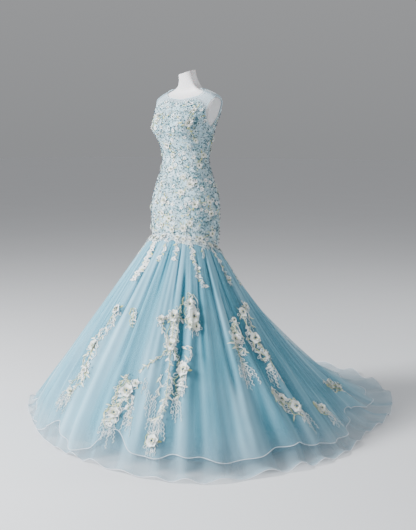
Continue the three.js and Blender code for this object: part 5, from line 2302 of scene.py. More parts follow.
@dataclass
class LaceRelief:
    """The embroidery that stands on the bodice's lace: its large flowers and what fills in between."""

    bodice: Bodice
    finishes: Finishes
    seed: int = 41
    lowest: float = 750
    highest: float = 1430
    spacing: float = 21
    tries: int = 9000
    margin: float = 9
    bead_spacing: float = 11.5
    stitch_spacing: float = 9.6
    small_tries: int = 14000
    beads: tuple[tuple[Thread, float, float, float], ...] = (
        # thread, radius, and the chances between which a bead is of this sort
        (Thread.DARK_BEAD, 2.8, 0, 0.66),
        (Thread.PEARL, 1.7, 0.66, 0.88),
        (Thread.GREEN, 1.7, 0.88, 1),
    )
    leaf_ring: int = 5
    edge_leaves: tuple[int, int] = (47, 21)
    edge_low: float = 5

    def __post_init__(self) -> None:
        """Starts the cloth and the large flowers' places."""
        self.cloth = BodiceCloth(self.bodice.body)
        places = []
        for bloom in BLOOMS:
            root = (math.radians(bloom.angle), bloom.z)
            a, b = places_from(self.cloth, root, [f[:2] for f in bloom.flowers])
            places += [(x, y, f[2]) for x, y, f in zip(a, b, bloom.flowers)]
        self.places = np.array(places)

    def inside(self, angle: Points, z: Points, margin: float) -> Points:
        """Tells which places lie on the lace, a margin in from its edges.

        Args:
            angle: Angles round the gown.
            z: Heights.
            margin: The margin.

        Returns:
            True where a place is on the lace.
        """
        bodice = self.bodice
        away = np.abs(angle)
        front = away < math.pi / 2
        wide = smooth(bodice.body.sections, z)
        gap = 1.2 * margin / wide
        side = np.where(front, bodice.edge_angle(bodice.front_edge, z), 0)
        back = math.pi - bodice.edge_angle(bodice.back_edge, z)
        arm = (z > bodice.underarm - margin) & (away > side - gap) & (away < back + gap)
        share = np.where(front, away / np.maximum(side, 0.1), (math.pi - away) / (math.pi / 2))
        share = np.clip(share, 0, 1)
        top = np.where(front, bodice.lace_top(Panel.FRONT, share), bodice.lace_top(Panel.LEFT, share))
        bottom = bodice.cut.seam_height(angle)
        near = away > math.pi - (bodice.placket_half + 0.7 * margin) / wide
        seam = near & (z > bodice.placket_closed)
        return (z < top - margin) & (z > bottom + 0.4 * margin) & ~arm & ~seam

    def scattered(self, spacing: float, tries: int, seed: int, blooms: float, margin: float) -> Points:
        """Finds places on the lace that keep a distance from each other.

        Args:
            spacing: The distance.
            tries: How many places are tried.
            seed: The random seed.
            blooms: How far places keep from a large flower, as a share of its radius.
            margin: How far they keep from the lace's edges.

        Returns:
            A row of angles and a row of heights.
        """
        chance = np.random.default_rng(seed)
        angle = chance.uniform(-math.pi, math.pi, tries)
        z = chance.uniform(self.lowest, self.highest, tries)
        keep = self.inside(angle, z, margin)
        angle, z = angle[keep], z[keep]
        points = self.cloth.at(angle, z, np.zeros(len(z)))
        middle = self.cloth.at(self.places[:, 0], self.places[:, 1], np.zeros(len(self.places)))
        gaps = np.linalg.norm(points[:, None] - middle[None], axis=-1) - blooms * self.places[:, 2]
        chosen = np.empty((0, 3))
        kept = []
        for i in np.nonzero(gaps.min(1) > 0)[0]:
            if not len(chosen) or np.min(np.sum((chosen - points[i]) ** 2, 1)) > spacing**2:
                chosen = np.vstack([chosen, points[i]])
                kept.append(i)
        return np.array([angle[kept], z[kept]])

    @staticmethod
    def sorts() -> tuple[tuple[float, Shape], ...]:
        """Makes the sorts of small motif, each with the chance that it ends at."""
        pair = [LaceShapes.eyelet(17, 8), LaceShapes.leaf(15, 6, Thread.GREEN).moved(turn=2.5)]
        return (
            (0.16, LaceShapes.small_flower().moved(size=9.5)),
            (0.3, LaceShapes.flower(Thread.ICE, tiers=1).moved(size=11)),
            (0.5, LaceShapes.sprig(25, Thread.ICE, 3)),
            (0.66, LaceShapes.scroll(19, Thread.IVORY)),
            (0.84, fan(LaceShapes.leaf(22, 8.5, Thread.ICE), (-0.7, 0.0, 0.75))),
            (1.01, joined(pair)),
        )

    def filling(self) -> None:
        """Makes the small motifs and beads between the large flowers, front and back apart."""
        motifs = self.scattered(self.spacing, self.tries, self.seed, 1.15, self.margin)
        chance = np.random.default_rng(self.seed + 1)
        kind = chance.random(motifs.shape[1])
        turn = chance.uniform(0, TURN, motifs.shape[1])
        size = chance.uniform(0.85, 1.2, motifs.shape[1])
        beads = self.scattered(self.bead_spacing, self.small_tries, self.seed + 2, 0.9, 5)
        tint = chance.random(beads.shape[1])
        stitches = self.scattered(self.stitch_spacing, self.small_tries, self.seed + 3, 1.0, 3)
        stitch_turn = chance.uniform(0, TURN, stitches.shape[1])
        # teal stitches grow more common from the waist up to the chest, which darkens the chest, and towards
        # the sides, where they paint shade as the body turns away
        shade = 0.2 + 0.36 * ease(stitches[1], 1040, 1260)
        shade = shade + 0.2 * ease(np.abs(np.degrees(stitches[0])), 50, 90)
        deep = chance.random(stitches.shape[1]) < shade
        for name in ("front", "back"):
            pile = LacePile(self.cloth)
            here, beads_here, stitches_here = (
                (np.abs(places[0]) < math.pi / 2) == (name == "front") for places in (motifs, beads, stitches)
            )
            for shape, chosen in sorts_at(kind, self.sorts()):
                chosen = chosen & here
                pile.lay(shape, *motifs[:, chosen], turn[chosen], size[chosen])
            for thread, radius, low, high in self.beads:
                chosen = beads_here & (tint >= low) & (tint < high)
                pile.lay(LaceShapes.bead(radius, thread), *beads[:, chosen], lift=2.3)
            for thread, chosen in ((Thread.ICE, stitches_here & ~deep), (Thread.TEAL, stitches_here & deep)):
                stitch = LaceShapes.leaf(8.5, 3.6, thread, 0.1, 4)
                pile.lay(stitch, *stitches[:, chosen], stitch_turn[chosen], 1.0, 0.2)
            settle(pile.make(f"lace_embroidery_{name}", self.finishes.lace), "applique")

    def blooms(self) -> None:
        """Makes each group of large flowers with its stem and leaves."""
        flower = LaceShapes.flower()
        chance = np.random.default_rng(self.seed + 4)
        for bloom in BLOOMS:
            spots = np.array([f[:2] for f in bloom.flowers])
            parts = [LaceShapes.cord(catmull(spots, 12), 1.2, Thread.GREEN, taper=1.0)]
            for x, y, radius in bloom.flowers:
                first = chance.uniform(0, TURN)
                for k in range(self.leaf_ring):
                    thread = Thread.ICE if k % 2 else Thread.GREEN
                    leaf = LaceShapes.leaf(0.85 * radius, 0.36 * radius, thread, along=5)
                    angle = first + k * TURN / self.leaf_ring
                    out = 0.82 * radius
                    parts.append(leaf.moved(x - out * math.sin(angle), y + out * math.cos(angle), angle))
                parts.append(flower.moved(x, y, first, radius, 0.4))
            pile = LacePile(self.cloth)
            pile.lay(joined(parts), math.radians(bloom.angle), bloom.z)
            settle(pile.make(f"{bloom.name}_flowers", self.finishes.lace), "applique", bloom.name)

    def upper_edge(self) -> None:
        """Makes the small leaves that scallop the lace's upper edge over the yoke."""
        pile = LacePile(self.cloth)
        bead = LaceShapes.bead(1.3, Thread.PEARL).moved(0, 12)
        leaf = joined([LaceShapes.leaf(11, 6, Thread.ICE, 0.1, 5), bead])
        front, back = self.edge_leaves
        for panel in Panel:
            share = np.linspace(-0.97, 0.97, front) if panel is Panel.FRONT else np.linspace(0.06, 0.96, back)
            z = self.bodice.lace_top(panel, share) - self.edge_low
            k = np.arange(len(share))
            angle = self.bodice.angles(panel, share, z)
            pile.lay(leaf, angle, z, 0.5 * np.sin(k * 2.4), 1 + 0.2 * np.cos(k * 1.7), 0.3)
        settle(pile.make("lace_upper_edge", self.finishes.lace), "applique")

    def build(self) -> None:
        """Makes every piece of the bodice's embroidery."""
        self.filling()
        self.blooms()
        self.upper_edge()


# ---- lace on the skirt


@dataclass(frozen=True)
class Stem:
    """A stem of a spray: its width with leaflets, and the points that it runs through."""

    wide: float
    through: tuple[Spot, ...]


@dataclass(frozen=True)
class Leaf:
    """A large leaf of a spray: its foot, its tip and its width."""

    foot: Spot
    tip: Spot
    wide: float


@dataclass(frozen=True)
class SprayPlan:
    """A spray of the skirt, in millimetres right and up of its root."""

    name: str
    angle: float
    share: float
    stems: tuple[Stem, ...] = ()
    leaves: tuple[Leaf, ...] = ()
    flowers: tuple[Row3, ...] = ()
    vines: tuple[tuple[Spot, ...], ...] = ()
    fringes: tuple[Row3, ...] = ()


SPRAYS = (
    SprayPlan(
        "spray_front", 32, 0.554,
        (
            Stem(15, ((-36, 240), (-30, 106), (-24, -110), (-44, -220))),
            Stem(15, ((-116, 208), (-36, 232), (86, 220))),
            Stem(13, ((-30, 106), (38, 4), (20, -130))),
        ),
        (
            Leaf((88, 340), (92, 172), 76),
            Leaf((52, 348), (70, 236), 44),
            Leaf((-36, 232), (-44, 60), 46),
            Leaf((38, 0), (30, -100), 38),
        ),
        (
            (96, 236, 27), (66, 290, 22), (110, 192, 19), (-36, 232, 25),
            (-30, 106, 22), (38, 4, 24), (-112, 214, 17), (70, 196, 15),
        ),
        (
            ((-32, 104), (-86, 48), (-120, 20), (-166, -18)),
            ((26, 106), (66, 98), (78, 60), (52, 34)),
            ((-22, -14), (-4, -70), (-20, -120), (-37, -178)),
            ((-112, 214), (-84, 160), (-52, 128)),
            ((20, 330), (2, 270), (-4, 190), (-10, 120)),
            ((-60, -20), (-58, -80), (-74, -130)),
            ((30, -30), (48, -80), (30, -110)),
        ),
        ((-70, -110, 150), (-92, -90, 120), (-44, -190, 110), (-118, -40, 70)),
    ),
    SprayPlan(
        "spray_right", -14.5, 0.507,
        (Stem(14, ((30, 176), (14, 82), (0, 0), (34, -90), (26, -160), (-6, -250))),),
        (Leaf((34, 190), (10, 70), 34), Leaf((4, 30), (26, -100), 38)),
        ((30, 176, 19), (0, 0, 22), (34, -112, 13), (-2, -214, 12)),
        (
            ((30, 176), (52, 110), (36, 40), (8, 0)),
            ((0, 0), (-22, -60), (4, -120), (-18, -190)),
            ((34, -90), (52, -150), (24, -210), (10, -260)),
            ((-2, 90), (-26, 40), (-14, -10)),
        ),
        ((24, -160, 90), (-20, -220, 90)),
    ),
    SprayPlan(
        "spray_small_front", 2, 0.362, (), (Leaf((-14, 40), (14, -8), 24), Leaf((4, 14), (24, -46), 22)),
    ),
    SprayPlan(
        "spray_low", 13.5, 0.647,
        (Stem(14, ((-26, 66), (0, 0), (-20, -76), (-32, -150))), Stem(12, ((0, 0), (34, -104)))),
        (Leaf((0, 44), (-22, -66), 46), Leaf((-18, -60), (-34, -168), 40)),
        ((0, 0, 23), (-24, -96, 19), (30, 34, 14)),
        (((0, 0), (36, -40), (30, -96), (48, -130)), ((-26, 60), (-44, 10), (-40, -50), (-62, -110))),
        ((-46, -100, 70),),
    ),
    SprayPlan(
        "spray_hem", 27, 0.82,
        (Stem(14, ((-26, 24), (0, 0))),), (Leaf((-26, 30), (16, -22), 36),), ((0, 0, 22),),
    ),
    SprayPlan(
        "spray_left", 79, 0.437,
        (Stem(14, ((60, 150), (-2, 124), (0, 0), (26, -82), (22, -150))),),
        (Leaf((70, 160), (-6, 90), 34), Leaf((2, 20), (28, -96), 36)),
        ((-2, 124, 19), (0, 0, 21), (26, -82, 18), (56, 158, 14)),
        (((60, 150), (44, 90), (34, 30), (10, 0)), ((-4, 60), (-30, 10), (-14, -50), (6, -110))),
        ((40, -110, 70),),
    ),
    SprayPlan(
        "spray_left_inner", 65.5, 0.429,
        (Stem(12, ((28, 90), (0, 0), (0, -70), (4, -138))),), (Leaf((20, 70), (-2, -60), 32),),
        ((0, 0, 19), (26, 84, 12)), (((28, 90), (40, 40), (22, -20), (26, -80)),), ((2, -90, 110),),
    ),
    SprayPlan(
        "spray_left_low", 82, 0.73,
        (Stem(14, ((-66, 90), (-36, 44), (0, 0), (40, -44))),),
        (Leaf((-66, 92), (-14, 16), 34), Leaf((-10, 20), (44, -56), 44)),
        ((-36, 44, 18), (6, -6, 21), (-70, 84, 12)),
        (((-66, 90), (-80, 40), (-44, 4), (-10, -40)), ((0, 20), (30, 24), (60, -10))),
    ),
    SprayPlan(
        "spray_left_far", 98, 0.78,
        (Stem(12, ((-32, 38), (22, -32))),), (Leaf((-36, 42), (26, -38), 30),), ((-6, 4, 16),),
    ),
    SprayPlan(
        "spray_train_left", 124, 0.76,
        (Stem(14, ((-70, 40), (0, 10), (64, -30))),),
        (Leaf((-76, 42), (10, 6), 40), Leaf((0, 12), (74, -34), 34)),
        ((-40, 26, 20), (28, -6, 18)),
        (((-80, 60), (-20, 44), (40, 30), (84, -10)), ((-70, 20), (-20, -14), (50, -44))),
    ),
    SprayPlan(
        "spray_back_left", 152, 0.5,
        (Stem(14, ((-10, 120), (0, 0), (14, -140))),),
        (Leaf((-12, 130), (0, 0), 38), Leaf((4, 0), (16, -120), 38)),
        ((-8, 90, 20), (4, -30, 20)),
        (((-10, 120), (-40, 60), (-22, 0), (-34, -70)), ((10, 30), (36, -20), (24, -90))),
        ((10, -110, 90),),
    ),
    SprayPlan(
        "spray_back_right", -140, 0.64,
        (Stem(14, ((16, 130), (0, 0), (-20, -120))),),
        (Leaf((18, 140), (0, 10), 38), Leaf((-2, 0), (-22, -120), 40)),
        ((12, 96, 20), (-8, -40, 21)),
        (((16, 130), (44, 70), (20, 0), (12, -80)), ((-10, 20), (-40, -30), (-30, -100))),
        ((-24, -100, 90),),
    ),
    SprayPlan(
        "spray_side_right", -82, 0.56,
        (Stem(14, ((-20, 150), (0, 0), (10, -150))),),
        (Leaf((-22, 160), (0, 20), 38), Leaf((2, 10), (12, -130), 40)),
        ((-14, 110, 20), (4, -30, 21)),
        (((-20, 150), (14, 90), (30, 20), (16, -60)), ((0, 10), (-30, -50), (-16, -120))),
        ((8, -120, 90),),
    ),
)

TRAILS = (
    # width, then places from the lace's edge down the skirt, in degrees round and shares of the way down
    (2.6, ((-15.6, 0.012), (-11.1, 0.129), (-14.4, 0.221))),
    (1.5, ((3, 0.01), (5, 0.07), (4, 0.12))),
    (1.5, ((17.7, 0.008), (20.7, 0.106))),
    (1.3, ((37.7, 0.01), (41.6, 0.103), (44.5, 0.215))),
    (1, ((57, 0.01), (56, 0.08))),
    (1.3, ((75.3, 0.02), (78.8, 0.139), (79.2, 0.213))),
    (1, ((98, 0.01), (101, 0.12), (100, 0.19))),
    (1, ((121, 0.01), (124, 0.1))),
    (1, ((146, 0.01), (149, 0.12), (147, 0.2))),
    (1, ((170, 0.01), (172, 0.09))),
    (1, ((-166, 0.01), (-163, 0.12), (-165, 0.19))),
    (1, ((-142, 0.01), (-140, 0.1))),
    (1, ((-118, 0.01), (-115, 0.13), (-117, 0.2))),
    (1, ((-94, 0.01), (-92, 0.1))),
    (1, ((-72, 0.01), (-70, 0.12), (-73, 0.2))),
    (1, ((-42, 0.01), (-39, 0.1))),
)


def beside(path: Points, off: Points | float) -> Points:
    """Returns the points that lie to one side of a path by a distance that may change."""
    along = unit(np.gradient(path, axis=0))
    return path + np.column_stack([-along[:, 1], along[:, 0]]) * np.broadcast_to(off, len(path))[:, None]


def length_of(path: Points) -> float:
    """Returns a path's length."""
    return float(np.sum(np.linalg.norm(np.diff(path, axis=0), axis=1)))


def heading_of(way: Points) -> float:
    """Returns how far a shape that points up is turned to point along a way."""
    return math.atan2(-way[0], way[1])


class SprayShapes:
    """Builds the flat plans of sprays and trails from cords, loops, leaves, flowers and beads."""

    band: float = 2.1  # a stem's width, out of its plan's width
    bloom: float = 1.32  # a flower's radius, out of its plan's radius
    leaf_step: float = 17.0  # millimetres along a leaf from one pair of leaflets to the next
    stem_step: float = 17.0  # millimetres from one offshoot to the next
    vine_step: float = 21.0
    fringe_step: float = 6.0  # millimetres from one hanging strand to the next

    def __init__(self, seed: int) -> None:
        """Starts the random values that make no two leaflets alike."""
        self.chance = np.random.default_rng(seed)

    def between(self, low: float, high: float) -> float:
        """Draws a value between two others."""
        return self.chance.uniform(low, high)

    def strand(self, path: Points, sway: float, wave: float, thread: Thread, radius: float = 1.0) -> Shape:
        """Makes a cord that wanders from side to side of a path.

        Args:
            path: The path.
            sway: How far it wanders.
            wave: How long each wander is.
            thread: What it is made of.
            radius: Its radius.

        Returns:
            The cord.
        """
        length = length_of(path)
        count = max(8, int(length / wave * 7))
        line = catmull(path, count)
        t = np.linspace(0, length / wave * TURN, count)
        phase = self.between(0, TURN)
        off = sway * (np.sin(t + phase) + 0.35 * np.sin(2.3 * t + 2 * phase))
        return LaceShapes.cord(beside(line, off), radius, thread, 3, taper=0.7)

    def leaflet(self, place: Points, heading: float, long: float, thread: Thread) -> Shape:
        """Makes one leaflet that points along a heading from a place."""
        wide = long * self.between(0.4, 0.52)
        leaf = LaceShapes.leaf(long, wide, thread, self.between(-0.15, 0.15), 5)
        return leaf.moved(*place, heading)

    def stem(self, path: Points, wide: float) -> Shape:
        """Makes an open band of lace along a path: wandering cords, loops, leaflets and beads.

        Args:
            path: Points right and up along it.
            wide: Its width with its leaflets.

        Returns:
            The stem.
        """
        length = length_of(path)
        parts = [
            LaceShapes.cord(path, 1.5, Thread.GREEN, taper=0.6),
            self.strand(path, wide * 0.32, 34, Thread.IVORY, 1.5),
            self.strand(beside(path, wide * 0.35), wide * 0.16, 27, Thread.TEAL, 1.3),
        ]
        along = unit(np.gradient(path, axis=0))
        count = max(2, int(length / self.stem_step))
        for k in range(count):
            at = (k + self.between(0.2, 0.8)) / count * (len(path) - 1)
            i = int(at)
            place = path[i] + (path[min(i + 1, len(path) - 1)] - path[i]) * (at - i)
            heading = heading_of(along[i])
            side = 1 if self.chance.random() < 0.5 else -1
            lean = heading + side * self.between(0.5, 1.3)
            parts += self.offshoot(place, lean, wide)
            for out in (0.5, 0.9):
                aside = heading - side * self.between(0.8, 1.8)
                off = out * wide * np.array([-math.sin(aside), math.cos(aside)])
                parts.append(LaceShapes.bead(2.0).moved(*(place + off), lift=0.4))
        return joined(parts)

    def offshoot(self, place: Points, lean: float, wide: float) -> list[Shape]:
        """Makes what grows at one place of a stem: two leaflets, a small flower, a loop or a blade.

        Args:
            place: The place.
            lean: Which way it points.
            wide: The stem's width with its leaflets.

        Returns:
            The shapes.
        """
        foot = place + wide * 0.2 * np.array([-math.sin(lean), math.cos(lean)])
        pick = self.chance.random()
        if pick < 0.3:
            first = self.leaflet(foot, lean, self.between(15, 24), Thread.IVORY)
            return [first, self.leaflet(foot, lean + 0.8, self.between(11, 17), Thread.ICE)]
        if pick < 0.5:
            return [LaceShapes.small_flower().moved(*foot, lean, self.between(8, 12), 0.4)]
        if pick < 0.72:
            return [LaceShapes.eyelet(self.between(15, 24), self.between(8, 12)).moved(*place, lean)]
        return [self.blade(place, lean, self.between(24, 38))]

    def vine(self, path: Points) -> Shape:
        """Makes a wandering vine with blades, loops and beads at uneven distances.

        Args:
            path: Points right and up along it.

        Returns:
            The vine.
        """
        thread = Thread.GREEN if self.chance.random() < 0.4 else Thread.IVORY
        parts = [self.strand(path, 3.0, 29, thread, 1.7), self.strand(path, 7.0, 41, Thread.IVORY, 1.4)]
        along = unit(np.gradient(path, axis=0))
        count = max(2, int(length_of(path) / self.vine_step))
        for k in range(count):
            i = int((k + self.between(0.1, 0.9)) / count * (len(path) - 1))
            heading = heading_of(along[i]) + (1 if k % 2 else -1) * self.between(0.4, 1.2)
            pick = self.chance.random()
            if pick < 0.4:
                parts.append(self.blade(path[i], heading, self.between(18, 30)))
            elif pick < 0.7:
                parts.append(self.leaflet(path[i], heading, self.between(13, 20), Thread.IVORY))
            else:
                parts.append(LaceShapes.eyelet(self.between(14, 20), 8).moved(*path[i], heading))
            off = np.array([self.between(-14, 14), self.between(-8, 8)])
            parts.append(LaceShapes.bead(2.1).moved(*(path[i] + off), lift=0.5))
        return joined(parts)

    def blade(self, place: Points, heading: float, long: float) -> Shape:
        """Makes a narrow bent leaf with a green edge that points along a heading from a place.

        Args:
            place: Its foot.
            heading: Which way it points.
            long: Its length.

        Returns:
            The blade.
        """
        u = np.linspace(0, 1, 10)
        bend = self.between(-0.35, 0.35) * long * u * u
        half = 0.13 * long * np.sin(math.pi * np.clip(u, 0.02, 0.98) ** 0.8)
        edge = np.column_stack([bend + half, long * u])
        body = LaceShapes.leaf(long * 0.96, long * 0.22, Thread.IVORY, 0)
        body.points[:, 0] += np.interp(body.points[:, 1] / long, u, bend)
        return joined([body, LaceShapes.cord(edge, 1.3, Thread.GREEN, taper=0.6)]).moved(*place, heading)

    def leaf(self, plan: Leaf) -> Shape:
        """Makes a large open leaf: leaflets apart along a bent rib, inside a wandering green outline.

        Args:
            plan: Its plan.

        Returns:
            The leaf.
        """
        foot, tip = np.array(plan.foot, float), np.array(plan.tip, float)
        length = float(np.linalg.norm(tip - foot))
        heading = heading_of(tip - foot)
        bend = 0.14 * math.sin(plan.foot[0] + plan.tip[1])
        u = np.linspace(0, 1, 24)
        half = 0.65 * plan.wide * np.sin(math.pi * np.clip(u, 0.02, 0.985) ** 0.8) ** 0.85
        middle = bend * length * u * (1 - u) * 2
        rib = np.column_stack([middle, length * u])
        parts = [LaceShapes.cord(rib, 1.5, Thread.GREEN, taper=0.5)]
        for side in (1, -1):
            scallop = 1 + 0.16 * np.sin(5 * math.pi * u + side)
            edge = np.column_stack([middle + side * half * scallop, length * u])
            thread = Thread.GREEN if side > 0 else Thread.IVORY
            parts.append(LaceShapes.cord(edge[: 22 if side > 0 else 17], 1.5, thread, taper=0.7))
        count = max(4, int(length / self.leaf_step))
        parts.append(self.strand(rib, 0.3 * plan.wide, 30, Thread.TEAL, 1.2))
        for k in range(count):
            at = (k + 0.5) / count
            place = np.array([np.interp(at, u, middle), length * at])
            reach = float(np.interp(at, u, half))
            for side in (1, -1):
                lean = -side * self.between(0.75, 1.15)
                long = max(reach, 8) * self.between(0.8, 1.15)
                parts.append(self.leaflet(place, lean, long, Thread.IVORY if k % 3 else Thread.ICE))
                bead = place + np.array([side * reach * 0.55, 0.5 * length / count])
                parts.append(LaceShapes.bead(1.4).moved(*bead, lift=0.4))
        return joined(parts).moved(*foot, heading)

    def flower(self, x: float, y: float, radius: float) -> Shape:
        """Makes a large flower on a ring of loops and leaflets.

        Args:
            x: How far right it is.
            y: How far up it is.
            radius: Its radius.

        Returns:
            The flower.
        """
        first = self.between(0, TURN)
        parts = []
        for k in range(5):
            angle = first + (k + 0.5) * TURN / 5
            foot = np.array([-0.7 * radius * math.sin(angle), 0.7 * radius * math.cos(angle)])
            if k % 2:
                thread = Thread.GREEN if k == 1 else Thread.TEAL
                parts.append(self.leaflet(foot, angle, 0.7 * radius, thread))
            else:
                parts.append(LaceShapes.eyelet(0.85 * radius, 0.4 * radius).moved(*foot, angle))
        parts.append(LaceShapes.flower().moved(size=radius, lift=0.8, turn=first))
        return joined(parts).moved(x, y)

    def fringe(self, x: float, y: float, length: float, lean: float) -> Shape:
        """Makes fine strands that hang side by side from a spray, with beads between them.

        Args:
            x: How far right it is.
            y: How far up it is.
            length: About how far it hangs.
            lean: How far it leans for each millimetre down.

        Returns:
            The fringe.
        """
        parts = []
        for k, thread in enumerate((Thread.IVORY, Thread.ICE, Thread.IVORY)):
            long = length * self.between(0.6, 1.05)
            t = np.linspace(0, 1, 6)
            foot = x + (k - 1) * self.fringe_step
            path = np.column_stack([foot + (lean + 0.06 * (k - 1)) * long * t, y - 8 * k - long * t])
            parts.append(self.strand(path, 2.6, 17, thread, 1.15))
            if k == 1:
                parts.append(LaceShapes.eyelet(13, 6).moved(*path[3], math.pi - 0.8))
            parts.append(LaceShapes.bead(1.8).moved(path[2 + k, 0] + 4, path[2 + k, 1], lift=0.5))
        return joined(parts)

    def spray(self, plan: SprayPlan) -> Shape:
        """Makes a whole spray.

        Args:
            plan: Its plan.

        Returns:
            The spray.
        """
        parts = [self.leaf(leaf) for leaf in plan.leaves]
        for stem in plan.stems:
            path = catmull(np.array(stem.through, float), 9 * len(stem.through))
            parts.append(self.stem(path, stem.wide * self.band))
            x, y = stem.through[-1]
            count = 3 if len(stem.through) > 3 else 2
            for k in range(count):
                apart = k - 0.5 * (count - 1)
                parts.append(self.fringe(x + apart * 17, y + 20, 96 - 18 * abs(apart), 0.07 * apart))
        for vine in plan.vines:
            parts.append(self.vine(catmull(np.array(vine, float), 8 * len(vine))))
        parts += [self.fringe(*fringe, 0.0) for fringe in plan.fringes]
        parts += [self.flower(x, y, self.bloom * radius) for x, y, radius in plan.flowers]
        return joined(parts)


@dataclass
class SkirtLace:
    """The lace on the skirt: the hanging edge under the seam, the trails and the sprays."""

    cut: SkirtCut
    finishes: Finishes
    seed: int = 73
    drops: Points = rows(
        # degrees round, how far the lace hangs below the seam
        (-180, 22), (-150, 30), (-120, 16), (-95, 28), (-70, 18), (-52, 30), (-35, 24), (-22, 30), (-10, 39),
        (2.5, 8), (14, 19), (28, 27), (37, 21), (56, 18), (70, 20), (83, 12), (100, 24), (125, 16),
        (150, 28), (180, 22),
    )

    edge_rows: tuple[tuple[float, float], ...] = (
        # millimetres below the seam, degrees from one motif to the next
        (-8.0, 3.8), (1.0, 3.6), (10.0, 3.6), (19.0, 3.8), (28.0, 4.0)
    )
    edge_flowers: tuple[int, ...] = (
        # degrees round
        -168, -150, -131, -112, -93, -74, -56, -38, -22, -12, -4,
        17, 27, 36, 48, 60, 74, 88, 104, 122, 141, 160,
    )
    edge_share: float = 0.03
    trail_step: float = 13

    def __post_init__(self) -> None:
        """Starts the cloth and the shapes."""
        self.cloth = SkirtCloth(self.cut)
        self.shapes = SprayShapes(self.seed)

    def per_share(self, angle: Points) -> Points:
        """Returns how many millimetres the cloth runs down for each share, near the seam."""
        return np.abs(cloth_scale(self.cloth, angle, np.full(len(angle), self.edge_share))[1])

    def edge(self) -> None:
        """Makes the uneven edge of the bodice's lace that hangs over the gathers and hides the seam."""
        chance = np.random.default_rng(self.seed)
        pile = LacePile(self.cloth)
        sorts = (
            (0.24, LaceShapes.sprig(22, Thread.ICE, 3)),
            (0.48, fan(LaceShapes.leaf(18, 8, Thread.ICE), (-0.6, 0.0, 0.6))),
            (0.7, LaceShapes.small_flower().moved(0, 4, size=9)),
            (0.88, LaceShapes.small_flower(Thread.ICE).moved(0, 4, size=11)),
            (1.01, LaceShapes.eyelet(18, 8)),
        )
        for row, step in self.edge_rows:
            degrees = np.arange(-180, 180, step)
            degrees = degrees + chance.uniform(-0.9, 0.9, len(degrees))
            angle = np.radians(degrees[smooth(self.drops, degrees) + 5 > row])
            shares = (row + chance.uniform(-3, 3, len(angle))) / self.per_share(angle)
            turn = math.pi + chance.uniform(-0.8, 0.8, len(angle))
            for shape, chosen in sorts_at(chance.random(len(angle)), sorts):
                size = chance.uniform(0.8, 1.1, chosen.sum())
                pile.lay(shape, angle[chosen], shares[chosen], turn[chosen], size, 1.0)
            pile.lay(LaceShapes.bead(1.5), angle + 0.02, shares + 0.004, 0.0, 1.0, 2.4)
        degrees = np.array(self.edge_flowers, float)
        angle = np.radians(degrees)
        size = chance.uniform(11, 16, len(angle))
        shares = (smooth(self.drops, degrees) - 9) / self.per_share(angle)
        pile.lay(LaceShapes.flower(), angle, shares, chance.uniform(0, TURN, len(angle)), size, 2.0)
        settle(pile.make("lace_hanging_edge", self.finishes.lace), "applique")

    def trail(self, wide: float, line: Points) -> Shape:
        """Makes one trailing stem.

        Args:
            wide: Its width: above 1.2 it has small flowers, and above 2 it has more leaflets.
            line: Points right and up along it.

        Returns:
            The trail.
        """
        shapes = self.shapes
        parts = [
            shapes.strand(line, 3.5, 21, Thread.IVORY, 1.3),
            shapes.strand(line, 4.5, 29, Thread.ICE, 1.1),
        ]
        headings = np.arctan2(-np.gradient(line[:, 0]), np.gradient(line[:, 1]))
        count = int(length_of(line) / self.trail_step)
        for k in range(count):
            i = int((k + 0.5) / count * (len(line) - 1))
            place, heading = line[i], headings[i]
            side = 1 if k % 2 else -1
            long = (15 - 6 * k / count) * (0.7 + 0.3 * wide)
            tint = (Thread.IVORY, Thread.ICE, Thread.GREEN)[k % 3]
            if wide > 2:
                aside = np.array([side * 9, 0.0])
                parts.append(shapes.leaflet(place + aside, heading - side * 0.9, long, Thread.IVORY))
                parts.append(shapes.leaflet(place - aside, heading + side * 0.5, long, Thread.IVORY))
            if wide > 1.2 and k % 3 == 1:
                blossom = LaceShapes.small_flower()
                parts.append(blossom.moved(place[0] - 5 * side, place[1], heading, 6 + 2 * wide, 0.5))
            parts.append(shapes.leaflet(place, heading + side * shapes.between(0.5, 1.0), long, tint))
            parts.append(LaceShapes.bead(1.7).moved(place[0] + 8 * side, place[1], lift=0.5))
        return joined(parts)

    def trails(self) -> None:
        """Makes the trailing stems that run from the lace's edge down the gathers."""
        pile = LacePile(self.cloth)
        for wide, places in TRAILS:
            a, b = np.radians([p[0] for p in places]), np.array([p[1] for p in places])
            per_a, per_b = cloth_scale(self.cloth, a, b)
            path = np.column_stack([(a - a[0]) * per_a, (b - b[0]) * per_b])
            pile.lay(self.trail(wide, catmull(path, 8 * len(places))), a[0], b[0], 0.0, 1.0, 0.8)
        settle(pile.make("lace_trails", self.finishes.lace), "applique")

    def sprays(self) -> None:
        """Makes every spray, each in place of its solid."""
        for plan in SPRAYS:
            pile = LacePile(self.cloth)
            pile.lay(self.shapes.spray(plan), math.radians(plan.angle), plan.share, 0.0, 1.0, 0.8)
            settle(pile.make(f"{plan.name}_lace", self.finishes.lace), "spray", plan.name)

    def build(self) -> None:
        """Makes every piece of lace on the skirt."""
        self.edge()
        self.trails()
        self.sprays()


# ---- studio


